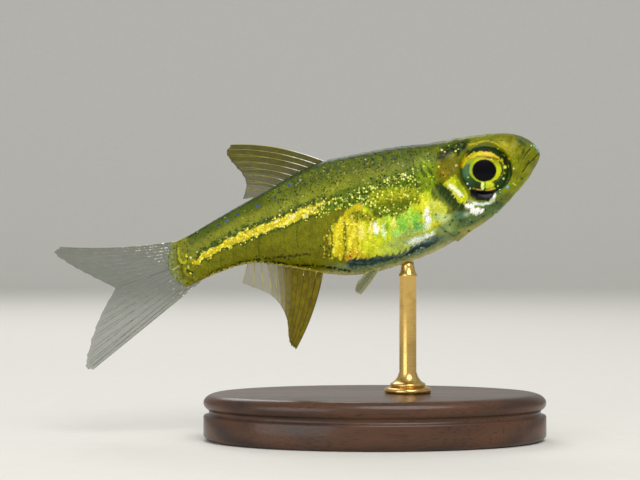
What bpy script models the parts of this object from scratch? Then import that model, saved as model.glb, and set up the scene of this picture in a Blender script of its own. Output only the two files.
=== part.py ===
"""A kubotai rasbora, 18 mm from snout to tail root, as a still life-size model on a small display stand.

The fish is modelled in its own frame: x runs forward from the snout tip, so x is minus the distance back
along the body, y points to the fish's left and z to its back. All sizes are in millimetres: the two empties
that carry the fish and the stand are scaled to metres, and the fish's one also pitches it nose up.
"""

import math

import bmesh
import bpy
import numpy as np

TO_METRES = 0.001
SIDES = {"left": 1, "right": -1}

# The pose on the stand
PITCH = math.radians(17.15)
SNOUT_X = 7.7
SNOUT_Z = 13.45
GAP = 0.25
BEND_FROM = 6.0
BEND_TO = 23.4
BEND_SIDEWAYS = 1.3

# The body: lengths back from the snout tip
BODY_LENGTH = 18.0
BODY_RING = 40
HEAD_STATIONS = 24
TORSO_STATIONS = 13
TAIL_STATIONS = 11
HEAD_LENGTH = 5.8
TORSO_END = 12.4

# The eyes
EYE_BACK = 2.73
EYE_UP = -0.07
EYE_RADIUS = 1.03
EYE_HALF_THICKNESS = 0.56
EYE_SIDEWAYS = 0.75
EYE_TURNED_FORWARD = math.radians(7)
SOCKET_DEEPER = 0.18
ORBIT_RIM_RADIUS = 0.1
ORBIT_RIM_POINTS = 28

# The face
LIP_RADIUS = 0.14
LIP_CORNER_SHARE = 0.45
LIP_POINTS = 7
MOUTH_CLEFT = 0.05
NOSTRIL = (0.78, 0.48)
NOSTRIL_RADIUS = 0.1
NOSTRIL_DEPTH = 0.16
GILL_COVER_RAISED = 0.1
GILL_COVER_HEIGHTS = (-2.6, 0.8)

# The fins
MEMBRANE_THICKNESS = 0.5
RAY_THICKNESS = 0.72
PAIRED_RAY_THICKNESS = 0.6
RAYS_PART_BY = 0.25
FIN_TIP_SHARE = 0.35
FIN_ROWS = 8
DORSAL_RAYS = 9
ANAL_RAYS = 12
CAUDAL_UPPER_RAYS = 10
CAUDAL_LOWER_RAYS = 9
PECTORAL_RAYS = 7
PELVIC_RAYS = 4

# The stand
BASE_LENGTH = 16.0
BASE_WIDTH = 10.0
BASE_HEIGHT = 2.2
BASE_BEVEL = 0.3
ROD_STATION = 7.4
ROD_RADIUS = 0.4
ROD_FOOT_RADIUS = 1.1
ROD_FOOT_HEIGHT = 0.45

# Colour, roughness and metallic value of each look
LOOKS = {
    "head skin": ((0.22, 0.22, 0.02), 0.35, 0.0),
    "back and belly skin": ((0.2, 0.2, 0.03), 0.3, 0.2),
    "tail skin": ((0.16, 0.16, 0.01), 0.35, 0.0),
    "eye": ((0.02, 0.02, 0.02), 0.08, 0.0),
    "olive fin": ((0.2, 0.2, 0.08), 0.3, 0.0),
    "yellow fin": ((0.28, 0.22, 0.02), 0.3, 0.0),
    "grey fin": ((0.3, 0.3, 0.24), 0.3, 0.0),
    "dark wood": ((0.05, 0.03, 0.02), 0.4, 0.0),
    "brass": ((0.55, 0.42, 0.2), 0.25, 1.0),
}


class Profile:
    """A smooth line through (distance back, value) pairs, in the root of the distance for a blunt snout."""

    def __init__(self, *pairs):
        self.x = np.sqrt([back for back, _ in pairs])
        self.y = np.array([value for _, value in pairs], float)
        self.slope = np.gradient(self.y, self.x)

    def __call__(self, back):
        at = math.sqrt(min(max(back, self.x[0] ** 2), self.x[-1] ** 2))
        i = min(int(np.searchsorted(self.x, at, side="right")) - 1, len(self.x) - 2)
        width = self.x[i + 1] - self.x[i]
        t = (at - self.x[i]) / width
        rise = t * t * (3 - 2 * t)
        start = t * (1 - t) ** 2 * width * self.slope[i]
        end = t * t * (t - 1) * width * self.slope[i + 1]
        return float(self.y[i] * (1 - rise) + self.y[i + 1] * rise + start + end)


TOP = Profile(
    (0, 0), (0.1, 0.37), (0.45, 0.83), (1.07, 1.22), (1.96, 1.49), (3.3, 1.72), (4.8, 1.9), (6.6, 2.23),
    (8.5, 2.45), (9.9, 2.56), (11.4, 2.36), (12.6, 2.05), (14.1, 1.75), (15.7, 1.38), (17.0, 1.08),
    (18.0, 0.98),
)
BOTTOM = Profile(
    (0, -0.02), (0.15, -0.22), (0.54, -0.71), (1.06, -1.14), (1.66, -1.5), (2.56, -2.0), (3.65, -2.4),
    (5.0, -2.77), (6.4, -3.05), (7.8, -3.12), (9.2, -3.07), (10.6, -2.74), (11.9, -2.13), (13.15, -1.49),
    (14.2, -1.03), (15.4, -0.93), (16.6, -1.02), (18.0, -1.22),
)
HALF_WIDTH = Profile(
    (0, 0.02), (0.15, 0.38), (0.5, 0.62), (1.06, 0.86), (1.8, 1.04), (2.8, 1.17), (4.2, 1.27), (5.8, 1.33),
    (7.5, 1.35), (9.0, 1.3), (10.5, 1.16), (12.0, 0.96), (13.5, 0.75), (15.0, 0.57), (16.5, 0.43),
    (18.0, 0.3),
)
WIDEST_AT = Profile(
    (0, 0), (1.0, 0.02), (2.8, -0.15), (5.5, -0.4), (8.0, -0.4), (10.0, -0.1), (12.0, 0.15), (14.0, 0.25),
    (16.0, 0.15), (18.0, -0.1),
)
BACK_ROUNDNESS = Profile((0, 0.9), (1.5, 0.75), (3.0, 0.65), (5.0, 0.75), (7.5, 0.95), (18.0, 1.0))
BELLY_ROUNDNESS = Profile((0, 0.9), (3.0, 1.05), (7.0, 1.15), (18.0, 1.0))

# Lines on the side of the head and body, as (distance back, height)
MOUTH_HEIGHT = Profile((0, -0.03), (0.2, -0.16), (0.45, -0.3), (0.75, -0.45), (1.0, -0.66))
MOUTH_CORNER = 1.0
GILL_COVER_FRONT = [(4.1, 0.75), (3.95, 0.1), (3.75, -0.9), (3.3, -1.75), (2.6, -2.4)]
GILL_OPENING = [
    (4.45, 2.6), (4.6, 1.2), (5.15, 0.45), (5.5, -0.3), (5.62, -1.1), (5.5, -1.9), (5.05, -2.5), (4.7, -3.4),
]
TAIL_CUT = [(13.05, 2.6), (11.25, -3.2)]


def sideways_bend(back):
    """How far the spine has swung to the fish's left, and its slope, at a distance back."""
    share = max(0.0, back - BEND_FROM) / (BEND_TO - BEND_FROM)
    return BEND_SIDEWAYS * share**2, 2 * BEND_SIDEWAYS * share / (BEND_TO - BEND_FROM)


def fish_point(back, up, left):
    """A point in the fish's frame, with the spine's bend put in."""
    bend, slope = sideways_bend(back)
    shrink = 1 / math.hypot(1, slope)
    return (-(back - left * slope * shrink), bend + left * shrink, up)


def world_of(point):
    """Where a point of the fish's frame is once the fish is pitched and lifted."""
    x, y, z = point
    return (
        SNOUT_X + x * math.cos(PITCH) - z * math.sin(PITCH),
        y,
        SNOUT_Z + x * math.sin(PITCH) + z * math.cos(PITCH),
    )


def side_width(back, up):
    """How far the skin is from the middle plane, at a distance back and a height."""
    widest = WIDEST_AT(back)
    if up > widest:
        share, roundness = (up - widest) / (TOP(back) - widest), BACK_ROUNDNESS(back)
    else:
        share, roundness = (widest - up) / (widest - BOTTOM(back)), BELLY_ROUNDNESS(back)
    return HALF_WIDTH(back) * max(0.0, 1 - share * share) ** (roundness / 2)


def stations():
    """Distances back of the body's rings, close at the blunt snout and on the head."""
    head = [HEAD_LENGTH * (i / HEAD_STATIONS) ** 1.5 for i in range(HEAD_STATIONS)]
    torso = np.linspace(HEAD_LENGTH, TORSO_END, TORSO_STATIONS, endpoint=False)
    tail = np.linspace(TORSO_END, BODY_LENGTH - 0.04, TAIL_STATIONS)
    return [*head, *torso, *tail, BODY_LENGTH]


def link(obj, parent=None):
    fish_parts.objects.link(obj)
    obj.parent = parent
    return obj


def face_outwards(bm):
    bmesh.ops.recalc_face_normals(bm, faces=bm.faces)
    if bm.calc_volume(signed=True) < 0:
        bmesh.ops.reverse_faces(bm, faces=bm.faces)


def mesh_object(name, bm, parent=None):
    mesh = bpy.data.meshes.new(name)
    bm.to_mesh(mesh)
    bm.free()
    return link(bpy.data.objects.new(name, mesh), parent)


def body(name, swell=0.0):
    """The whole body without fins: a sphere whose rings are moved to the body's sections."""
    rings = stations()
    bm = bmesh.new()
    bmesh.ops.create_uvsphere(bm, u_segments=BODY_RING, v_segments=len(rings) - 1, radius=1)
    for vertex in bm.verts:
        turn = math.acos(max(-1.0, min(1.0, vertex.co.z))) / math.pi
        index = round(turn * (len(rings) - 1))
        back = rings[index]
        widest = WIDEST_AT(back)
        if index in (0, len(rings) - 1):
            vertex.co = fish_point(back, widest, 0)
            continue
        angle = math.atan2(vertex.co.y, vertex.co.x)
        rise, spread = math.sin(angle), math.cos(angle)
        if rise > 0:
            up, roundness = widest + (TOP(back) - widest) * rise, BACK_ROUNDNESS(back)
        else:
            up, roundness = widest + (widest - BOTTOM(back)) * rise, BELLY_ROUNDNESS(back)
        left = math.copysign(abs(spread) ** roundness, spread) * (HALF_WIDTH(back) + swell)
        vertex.co = fish_point(back, up, left)
    face_outwards(bm)
    return mesh_object(name, bm, fish)


def evaluated_copy(obj):
    """The object's mesh as its modifiers or its curve make it."""
    graph = bpy.context.evaluated_depsgraph_get()
    return bpy.data.meshes.new_from_object(obj.evaluated_get(graph))


def as_mesh(curve_object):
    """A curve made a closed mesh object, with its caps welded on."""
    mesh = evaluated_copy(curve_object)
    bm = bmesh.new()
    bm.from_mesh(mesh)
    bmesh.ops.remove_doubles(bm, verts=bm.verts, dist=0.002)
    face_outwards(bm)
    bm.to_mesh(mesh)
    bm.free()
    made = link(bpy.data.objects.new(curve_object.name, mesh), fish)
    made.rotation_euler = curve_object.rotation_euler
    bpy.data.objects.remove(curve_object)
    return made


def smooth_points(points, count):
    """Points spread evenly along a smooth line through the given ones."""
    points = np.array(points, float)
    steps = np.linalg.norm(np.diff(points, axis=0), axis=1)
    at = np.concatenate([[0], np.cumsum(steps)])
    slopes = np.gradient(points, at, axis=0)
    wanted = np.linspace(0, at[-1], count)
    i = np.clip(np.searchsorted(at, wanted, side="right") - 1, 0, len(points) - 2)
    width = (at[i + 1] - at[i])[:, None]
    t = (wanted - at[i])[:, None] / width
    rise = t * t * (3 - 2 * t)
    swing = t * (1 - t) ** 2 * width * slopes[i] + t * t * (t - 1) * width * slopes[i + 1]
    return points[i] * (1 - rise) + points[i + 1] * rise + swing


def prism(name, outline, half_width=4.0):
    """An outline of (distance back, height) points, pushed through the body from side to side."""
    curve = bpy.data.curves.new(name, "CURVE")
    curve.dimensions = "2D"
    curve.fill_mode = "BOTH"
    curve.extrude = half_width
    spline = curve.splines.new("POLY")
    spline.points.add(len(outline) - 1)
    for point, (back, up) in zip(spline.points, outline):
        point.co = (-back, up, 0, 1)
    spline.use_cyclic_u = True
    flat = link(bpy.data.objects.new(name, curve), fish)
    flat.rotation_euler = (math.radians(90), 0, 0)
    return as_mesh(flat)


def tube(name, path, radius, shares=None, closed=False):
    """A round bar along points of the fish's frame, as thick at each as its share of the radius."""
    curve = bpy.data.curves.new(name, "CURVE")
    curve.dimensions = "3D"
    curve.bevel_depth = radius
    curve.bevel_resolution = 1
    curve.use_fill_caps = not closed
    spline = curve.splines.new("POLY")
    spline.points.add(len(path) - 1)
    for point, co, share in zip(spline.points, path, shares or [1] * len(path)):
        point.co = (*co, 1)
        point.radius = share
    spline.use_cyclic_u = closed
    return as_mesh(link(bpy.data.objects.new(name, curve), fish))


def ellipsoid(name, centre, radius, half_thickness, turn=0.0, segments=28, rings=16):
    """A round flattened ball, thin from side to side and turned about the upright."""
    middle = fish_point(*centre)
    bm = bmesh.new()
    bmesh.ops.create_uvsphere(bm, u_segments=segments, v_segments=rings, radius=1)
    for vertex in bm.verts:
        along, across, up = vertex.co.x * radius, vertex.co.z * half_thickness, vertex.co.y * radius
        x = along * math.cos(turn) - across * math.sin(turn)
        y = along * math.sin(turn) + across * math.cos(turn)
        vertex.co = (middle[0] + x, middle[1] + y, middle[2] + up)
    face_outwards(bm)
    return mesh_object(name, bm, fish)


def combine(target, operation, others):
    """Applies one Boolean of the target with the others, and removes them."""
    bpy.context.view_layer.update()
    group = bpy.data.collections.new("cutters")
    bpy.context.scene.collection.children.link(group)
    for other in others:
        fish_parts.objects.unlink(other)
        group.objects.link(other)
    modifier = target.modifiers.new(operation, "BOOLEAN")
    modifier.operation = operation
    modifier.operand_type = "COLLECTION"
    modifier.collection = group
    modifier.solver = "EXACT"
    mesh = evaluated_copy(target)
    target.modifiers.clear()
    target.data = mesh
    for other in others:
        bpy.data.objects.remove(other)
    bpy.data.collections.remove(group)
    return target


def keep_largest(obj):
    """Leaves the object's largest closed surface, and drops what a cut or a union left loose."""
    bm = bmesh.new()
    bm.from_mesh(obj.data)
    left, islands = set(bm.faces), []
    while left:
        island, edge = set(), [next(iter(left))]
        while edge:
            face = edge.pop()
            if face in left:
                left.discard(face)
                island.add(face)
                edge.extend(other for e in face.edges for other in e.link_faces if other in left)
        islands.append(island)
    keep = max(islands, key=lambda faces: sum(face.calc_area() for face in faces))
    loose = [face for face in bm.faces if face not in keep]
    bmesh.ops.delete(bm, geom=loose, context="FACES")
    bm.to_mesh(obj.data)
    bm.free()
    return obj


def finish(obj, look, sharp_over=40):
    """Gives an object a material of its own with a named look, and smooth round faces."""
    colour, roughness, metallic = LOOKS[look]
    material = bpy.data.materials.new(obj.name)
    material.use_nodes = True
    shader = material.node_tree.nodes["Principled BSDF"]
    shader.inputs["Base Color"].default_value = (*colour, 1)
    shader.inputs["Roughness"].default_value = roughness
    shader.inputs["Metallic"].default_value = metallic
    obj.data.materials.clear()
    obj.data.materials.append(material)
    obj.data.shade_smooth()
    obj.data.set_sharp_from_angle(angle=math.radians(sharp_over))
    return obj


def on_side(back, up, side, out=0.0):
    """A point on the skin of one side, or that far out of it."""
    return fish_point(back, up, side * (side_width(back, up) + out))


def mouth_path(below):
    """The line of the mouth from its right corner round the snout to its left one, lowered by that much."""
    backs = [MOUTH_CORNER * (step / LIP_POINTS) ** 2 for step in range(1, LIP_POINTS + 1)]
    right = [on_side(back + 0.03, MOUTH_HEIGHT(back) - below, -1, -0.04) for back in reversed(backs)]
    left = [on_side(back + 0.03, MOUTH_HEIGHT(back) - below, 1, -0.04) for back in backs]
    return [*right, fish_point(0.03, MOUTH_HEIGHT(0) - below, 0), *left]


def make_lip(name, below):
    """A lip that thins out towards the corners of the mouth."""
    path = mouth_path(below)
    from_front = np.abs(np.linspace(-1, 1, len(path)))
    return tube(name, path, LIP_RADIUS, [1 - (1 - LIP_CORNER_SHARE) * share**2 for share in from_front])


def make_orbit_rim(side):
    """The low fold of skin round an eye."""
    turns = np.linspace(0, 2 * math.pi, ORBIT_RIM_POINTS, endpoint=False)
    radius = EYE_RADIUS + GAP + ORBIT_RIM_RADIUS * 0.7
    places = [(EYE_BACK + radius * math.cos(turn), EYE_UP + radius * math.sin(turn)) for turn in turns]
    path = [on_side(back, up, side, -ORBIT_RIM_RADIUS * 0.3) for back, up in places]
    return tube(f"orbit_rim_{side}", path, ORBIT_RIM_RADIUS, closed=True)


def make_head():
    """Snout to gill opening, with its gill covers, lips, mouth cleft, nostrils, eye rims and sockets."""
    gill_edge = [tuple(point) for point in smooth_points(GILL_OPENING, 15)]
    ahead = [(-1.0, -3.8), (-1.0, 3.2)]
    head = combine(body("head"), "INTERSECT", [prism("front", [*gill_edge, *ahead])])
    low, high = GILL_COVER_HEIGHTS
    cover_rear = [point for point in gill_edge if low < point[1] < high]
    cover_front = [tuple(point) for point in smooth_points(GILL_COVER_FRONT, 9)]
    cover_side = prism("cover_side", [*cover_rear, *reversed(cover_front)])
    cover = combine(body("gill_covers", GILL_COVER_RAISED), "INTERSECT", [cover_side])
    lips = [make_lip("upper_lip", -LIP_RADIUS * 0.8), make_lip("lower_lip", LIP_RADIUS * 0.8)]
    combine(head, "UNION", [cover, *lips, *(make_orbit_rim(side) for side in SIDES.values())])
    cutters = [tube("cleft", mouth_path(0), MOUTH_CLEFT)]
    for name, side in SIDES.items():
        nostril_place = (*NOSTRIL, side * side_width(*NOSTRIL))
        nostril = ellipsoid(f"nostril_{name}", nostril_place, NOSTRIL_RADIUS, NOSTRIL_DEPTH, 0, 8, 6)
        cutters += [nostril, eyeball(f"socket_{name}", side, GAP, SOCKET_DEEPER)]
    combine(head, "DIFFERENCE", cutters)
    return finish(keep_largest(head), "head skin")


def make_torso():
    """Gill opening to vent, with a thin gap behind the gill cover."""
    gill_edge = [(back + GAP, up) for back, up in smooth_points(GILL_OPENING, 15)]
    rear = [(back - GAP / 2, up) for back, up in reversed(TAIL_CUT)]
    torso = combine(body("torso"), "INTERSECT", [prism("middle", [*gill_edge, *rear])])
    return finish(keep_largest(torso), "back and belly skin")


def make_tail():
    """Vent to the root of the tail fin."""
    front = [(back + GAP / 2, up) for back, up in TAIL_CUT]
    behind = [(19.5, -3.2), (19.5, 2.6)]
    tail = combine(body("tail"), "INTERSECT", [prism("rear", [*front, *behind])])
    return finish(keep_largest(tail), "tail skin")


def eyeball(name, side, wider=0.0, thicker=0.0):
    """A flattened eyeball in its place on one side, or the larger hollow that it sits in."""
    place = (EYE_BACK, EYE_UP, side * EYE_SIDEWAYS)
    turn = -side * EYE_TURNED_FORWARD
    return ellipsoid(name, place, EYE_RADIUS + wider, EYE_HALF_THICKNESS + thicker, turn)


def make_fin(name, root, tips, rays, look, bow=(0, 0, 0), ray_thickness=RAY_THICKNESS):
    """A membrane from its root line to the line of its ray tips, with each ray a ridge in its own surface.

    Both lines are smooth through (distance back, height, left) points. The rays bow by that much halfway out.
    """
    columns = 2 * (rays - 1)
    starts = smooth_points(root, columns + 1)
    ends = smooth_points(tips, columns + 1)
    membrane_share = MEMBRANE_THICKNESS / ray_thickness
    bm = bmesh.new()
    bmesh.ops.create_grid(bm, x_segments=columns, y_segments=FIN_ROWS, size=1)
    shares = []
    for vertex in bm.verts:
        column = round((vertex.co.x + 1) / 2 * columns)
        out = (vertex.co.y + 1) / 2
        place = starts[column] * (1 - out) + ends[column] * out + np.array(bow) * math.sin(math.pi * out)
        vertex.co = fish_point(*place)
        parted = min(1, out / RAYS_PART_BY) if column % 2 else 0
        shares.append((1 - (1 - FIN_TIP_SHARE) * out**3) * (1 - (1 - membrane_share) * parted))
    bmesh.ops.triangulate(bm, faces=bm.faces)
    fin = mesh_object(name, bm, fish)
    group = fin.vertex_groups.new(name="ray_thickness")
    for index, share in enumerate(shares):
        group.add([index], share, "REPLACE")
    shell = fin.modifiers.new("thickness", "SOLIDIFY")
    shell.thickness = ray_thickness
    shell.offset = 0
    shell.vertex_group = group.name
    shell.thickness_vertex_group = 0
    return finish(fin, look, sharp_over=12)


def make_dorsal_fin():
    root = [(back, TOP(back) + GAP, 0) for back in (9.7, 10.8, 11.9, 12.9)]
    tips = [(13.78, 4.58), (14.02, 4.3), (13.9, 3.8), (13.6, 3.15), (13.58, 2.7), (13.9, 2.2)]
    tips = [(*tip, 0) for tip in tips]
    make_fin("dorsal_fin", root, tips, DORSAL_RAYS, "olive fin", bow=(0, 0.12, 0))


def make_anal_fin():
    root = [(back, BOTTOM(back) - GAP, 0) for back in (11.45, 12.4, 13.5, 14.5)]
    tips = [(13.7, -5.45), (13.68, -4.6), (13.55, -3.7), (13.8, -2.85), (14.4, -2.35), (15.1, -1.75)]
    tips = [(*tip, 0) for tip in tips]
    make_fin("anal_fin", root, tips, ANAL_RAYS, "yellow fin", bow=(-0.08, -0.1, 0))


def make_caudal_fin():
    """The upper and the lower lobe of the tail fin, which meet at its fork."""
    end = BODY_LENGTH + GAP
    first, next_first = (17.45, TOP(17.45) + GAP), (18.1, 1.12)
    root = [(*point, 0) for point in (first, next_first, (end + 0.05, 0.8), (end, 0.4), (end, 0.0))]
    tips = [(22.95, 2.45), (23.28, 2.2), (22.9, 1.65), (22.2, 0.98), (21.5, 0.3), (20.95, 0.0)]
    tips = [(*tip, 0) for tip in tips]
    make_fin("caudal_fin_upper", root, tips, CAUDAL_UPPER_RAYS, "grey fin", bow=(0, 0.06, 0))
    first, next_first = (17.3, BOTTOM(17.3) - GAP), (18.05, -1.45)
    root = [(*point, 0) for point in (first, next_first, (end + 0.05, -1.1), (end, -0.7), (end, -0.25))]
    tips = [(23.2, -3.65), (23.4, -3.3), (22.9, -2.45), (22.1, -1.45), (21.45, -0.7), (20.95, -0.25)]
    tips = [(*tip, 0) for tip in tips]
    make_fin("caudal_fin_lower", root, tips, CAUDAL_LOWER_RAYS, "grey fin", bow=(0, -0.06, 0))


def make_paired_fin(name, side, root, tips, rays, bow=0.0):
    """A small fin of one side, from lines given for the left one."""
    root = [(back, up, side * left) for back, up, left in root]
    tips = [(back, up, side * left) for back, up, left in tips]
    make_fin(name, root, tips, rays, "grey fin", (0, 0, side * bow), PAIRED_RAY_THICKNESS)


def make_pectoral_fin(name, side):
    """One of the fins behind the gill covers, folded back along the flank."""
    out = side_width(6.0, -1.8) + GAP + 0.05
    root = [(6.0, -1.4, out), (6.05, -1.8, out), (6.15, -2.2, out * 0.92)]
    tips = [(8.75, -2.15, 1.75), (8.55, -2.5, 1.7), (7.7, -2.75, 1.55)]
    make_paired_fin(f"pectoral_fin_{name}", side, root, tips, PECTORAL_RAYS, 0.1)


def make_pelvic_fin(name, side):
    """One of the small fins under the belly."""
    under = BOTTOM(9.0) - GAP
    root = [(8.75, under, 0.4), (9.05, under + 0.03, 0.43), (9.35, under + 0.08, 0.46)]
    tips = [(9.95, -3.88, 0.6), (10.12, -3.68, 0.62), (10.0, -3.4, 0.64)]
    make_paired_fin(f"pelvic_fin_{name}", side, root, tips, PELVIC_RAYS)


def make_stand():
    """A flat oval base and one turned rod that reaches up to the belly."""
    bm = bmesh.new()
    bmesh.ops.create_cone(bm, cap_ends=True, segments=48, radius1=0.5, radius2=0.5, depth=BASE_HEIGHT)
    for vertex in bm.verts:
        vertex.co.x *= BASE_LENGTH
        vertex.co.y *= BASE_WIDTH
        vertex.co.z += BASE_HEIGHT / 2
    base = mesh_object("stand_base", bm, stand)
    edge = base.modifiers.new("edge", "BEVEL")
    edge.width = BASE_BEVEL
    edge.segments = 2
    edge.angle_limit = math.radians(60)
    finish(base, "dark wood")
    x, y, z = world_of(fish_point(ROD_STATION, BOTTOM(ROD_STATION), 0))
    foot, top = BASE_HEIGHT + GAP, z - GAP
    foot_top = foot + ROD_FOOT_HEIGHT
    round_tip = [(0, top), (ROD_RADIUS * 0.7, top - 0.08), (ROD_RADIUS, top - 0.32)]
    flare = [(ROD_RADIUS, foot_top + 0.2), (ROD_RADIUS * 1.5, foot_top), (ROD_FOOT_RADIUS * 0.85, foot_top)]
    collar = [(ROD_FOOT_RADIUS, foot_top - 0.16), (ROD_FOOT_RADIUS, foot), (0, foot)]
    bm = bmesh.new()
    corners = [bm.verts.new((along, 0, height)) for along, height in [*round_tip, *flare, *collar]]
    for first, second in zip(corners, corners[1:]):
        bm.edges.new((first, second))
    rod = mesh_object("stand_rod", bm, stand)
    rod.location = (x, y, 0)
    turned = rod.modifiers.new("turned", "SCREW")
    turned.axis = "Z"
    turned.steps = turned.render_steps = 24
    turned.use_merge_vertices = True
    turned.merge_threshold = 0.0001
    finish(rod, "brass")


for leftover in list(bpy.data.objects):
    bpy.data.objects.remove(leftover)
fish_parts = bpy.data.collections.new("kubotai_rasbora")
bpy.context.scene.collection.children.link(fish_parts)
fish = link(bpy.data.objects.new("fish", None))
fish.location = (SNOUT_X * TO_METRES, 0, SNOUT_Z * TO_METRES)
fish.rotation_euler = (0, -PITCH, 0)
fish.scale = (TO_METRES, TO_METRES, TO_METRES)
stand = link(bpy.data.objects.new("stand", None))
stand.scale = (TO_METRES, TO_METRES, TO_METRES)

make_head()
make_torso()
make_tail()
make_dorsal_fin()
make_anal_fin()
make_caudal_fin()
for side_name, side_sign in SIDES.items():
    finish(eyeball(f"eye_{side_name}", side_sign), "eye")
    make_pectoral_fin(side_name, side_sign)
    make_pelvic_fin(side_name, side_sign)
make_stand()
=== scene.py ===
"""The looks of a kubotai rasbora display model: skin, scales, eyes, fins, stand, studio and camera.

Places on the fish are in millimetres: back from the snout tip, up from the line to the middle of the tail's
root, and left of the middle plane. place() turns them to metres in the frame of the solids, nose up.
"""

import math

import bmesh
import bpy
import numpy as np
from mathutils import Matrix, Vector


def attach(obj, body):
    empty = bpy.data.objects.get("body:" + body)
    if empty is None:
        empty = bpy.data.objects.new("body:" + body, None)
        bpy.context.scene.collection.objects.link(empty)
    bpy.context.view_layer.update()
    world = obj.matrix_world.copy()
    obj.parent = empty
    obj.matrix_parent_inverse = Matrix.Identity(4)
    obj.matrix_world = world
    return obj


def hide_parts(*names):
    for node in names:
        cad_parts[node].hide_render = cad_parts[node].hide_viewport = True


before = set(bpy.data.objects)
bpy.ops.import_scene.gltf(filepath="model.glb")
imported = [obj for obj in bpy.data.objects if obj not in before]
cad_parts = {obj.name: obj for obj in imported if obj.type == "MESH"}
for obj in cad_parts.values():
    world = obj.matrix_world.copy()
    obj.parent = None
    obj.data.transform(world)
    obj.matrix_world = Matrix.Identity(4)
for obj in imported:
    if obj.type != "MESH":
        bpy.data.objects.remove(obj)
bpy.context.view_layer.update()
MM = 0.001
SIDES = {"left": 1, "right": -1}

# The pose
PITCH = math.radians(17.15)
SNOUT_X = 7.7
SNOUT_Z = 13.45
BEND_FROM = 6.0
BEND_TO = 23.4
BEND_SIDEWAYS = 1.3

# The camera, level and square to the fish
FISH_MIDDLE = (-2.557, 0.0, 9.338)
CAMERA_AWAY = 83.07

# The body
HEAD_LENGTH = 5.8
HEAD_STATIONS = 170
TRUNK_STATIONS = 185
SKIN_RING = 256
SKIN_END = 18.2
ROOT_DEPTH = 0.12

# The eyes
EYE_BACK = 2.78
EYE_UP = -0.07
EYE_RADIUS = 1.13
EYE_HALF_THICKNESS = 0.56
EYE_SIDEWAYS = 0.75
EYE_TURNED_FORWARD = math.radians(7)
EYE_RINGS = 90
EYE_SIDES = 192
PUPIL_BACK = 2.72
PUPIL_UP = -0.065

# The stand
BASE_LENGTH = 16.0
BASE_WIDTH = 10.0
BASE_HEIGHT = 2.2
BASE_BEVEL = 0.3
ROD_STATION = 7.4
ROD_RADIUS = 0.4
ROD_FOOT_RADIUS = 1.1
ROD_FOOT_HEIGHT = 0.45


class Profile:
    """A smooth line through (distance back, value) pairs, in the root of the distance for a blunt snout."""

    def __init__(self, *pairs):
        self.x = np.sqrt([back for back, _ in pairs])
        self.y = np.array([value for _, value in pairs], float)
        self.slope = np.gradient(self.y, self.x)

    def __call__(self, back):
        at = np.sqrt(np.clip(back, self.x[0] ** 2, self.x[-1] ** 2))
        i = np.clip(np.searchsorted(self.x, at, side="right") - 1, 0, len(self.x) - 2)
        width = self.x[i + 1] - self.x[i]
        t = (at - self.x[i]) / width
        rise = t * t * (3 - 2 * t)
        start = t * (1 - t) ** 2 * width * self.slope[i]
        end = t * t * (t - 1) * width * self.slope[i + 1]
        return self.y[i] * (1 - rise) + self.y[i + 1] * rise + start + end


TOP = Profile(
    (0, 0), (0.1, 0.37), (0.45, 0.83), (1.07, 1.22), (1.96, 1.49), (3.3, 1.72), (4.8, 1.9), (6.6, 2.23),
    (8.5, 2.45), (9.9, 2.56), (11.4, 2.36), (12.6, 2.05), (14.1, 1.75), (15.7, 1.38), (17.0, 1.08),
    (18.0, 0.98),
)
BOTTOM = Profile(
    (0, -0.02), (0.12, -0.3), (0.25, -0.47), (0.54, -0.74), (1.06, -1.17), (1.66, -1.54), (2.56, -2.06),
    (3.65, -2.46), (5.0, -2.8), (6.4, -3.05), (7.8, -3.12), (9.2, -3.07), (10.6, -2.74), (11.9, -2.13),
    (13.15, -1.49), (14.2, -1.03), (15.4, -0.93), (16.6, -1.02), (18.0, -1.22),
)
HALF_WIDTH = Profile(
    (0, 0.02), (0.15, 0.38), (0.5, 0.62), (1.06, 0.86), (1.8, 1.04), (2.8, 1.17), (4.2, 1.27), (5.8, 1.33),
    (7.5, 1.35), (9.0, 1.3), (10.5, 1.16), (12.0, 0.96), (13.5, 0.75), (15.0, 0.57), (16.5, 0.43),
    (17.4, 0.25), (18.3, 0.05),
)
WIDEST_AT = Profile(
    (0, 0), (1.0, 0.02), (2.8, -0.15), (5.5, -0.4), (8.0, -0.4), (10.0, -0.1), (12.0, 0.15), (14.0, 0.25),
    (16.0, 0.15), (18.0, -0.1),
)
BACK_ROUNDNESS = Profile((0, 0.9), (1.5, 0.75), (3.0, 0.65), (5.0, 0.75), (7.5, 0.95), (18.0, 1.0))
BELLY_ROUNDNESS = Profile((0, 0.9), (3.0, 1.05), (7.0, 1.15), (18.0, 1.0))

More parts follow.
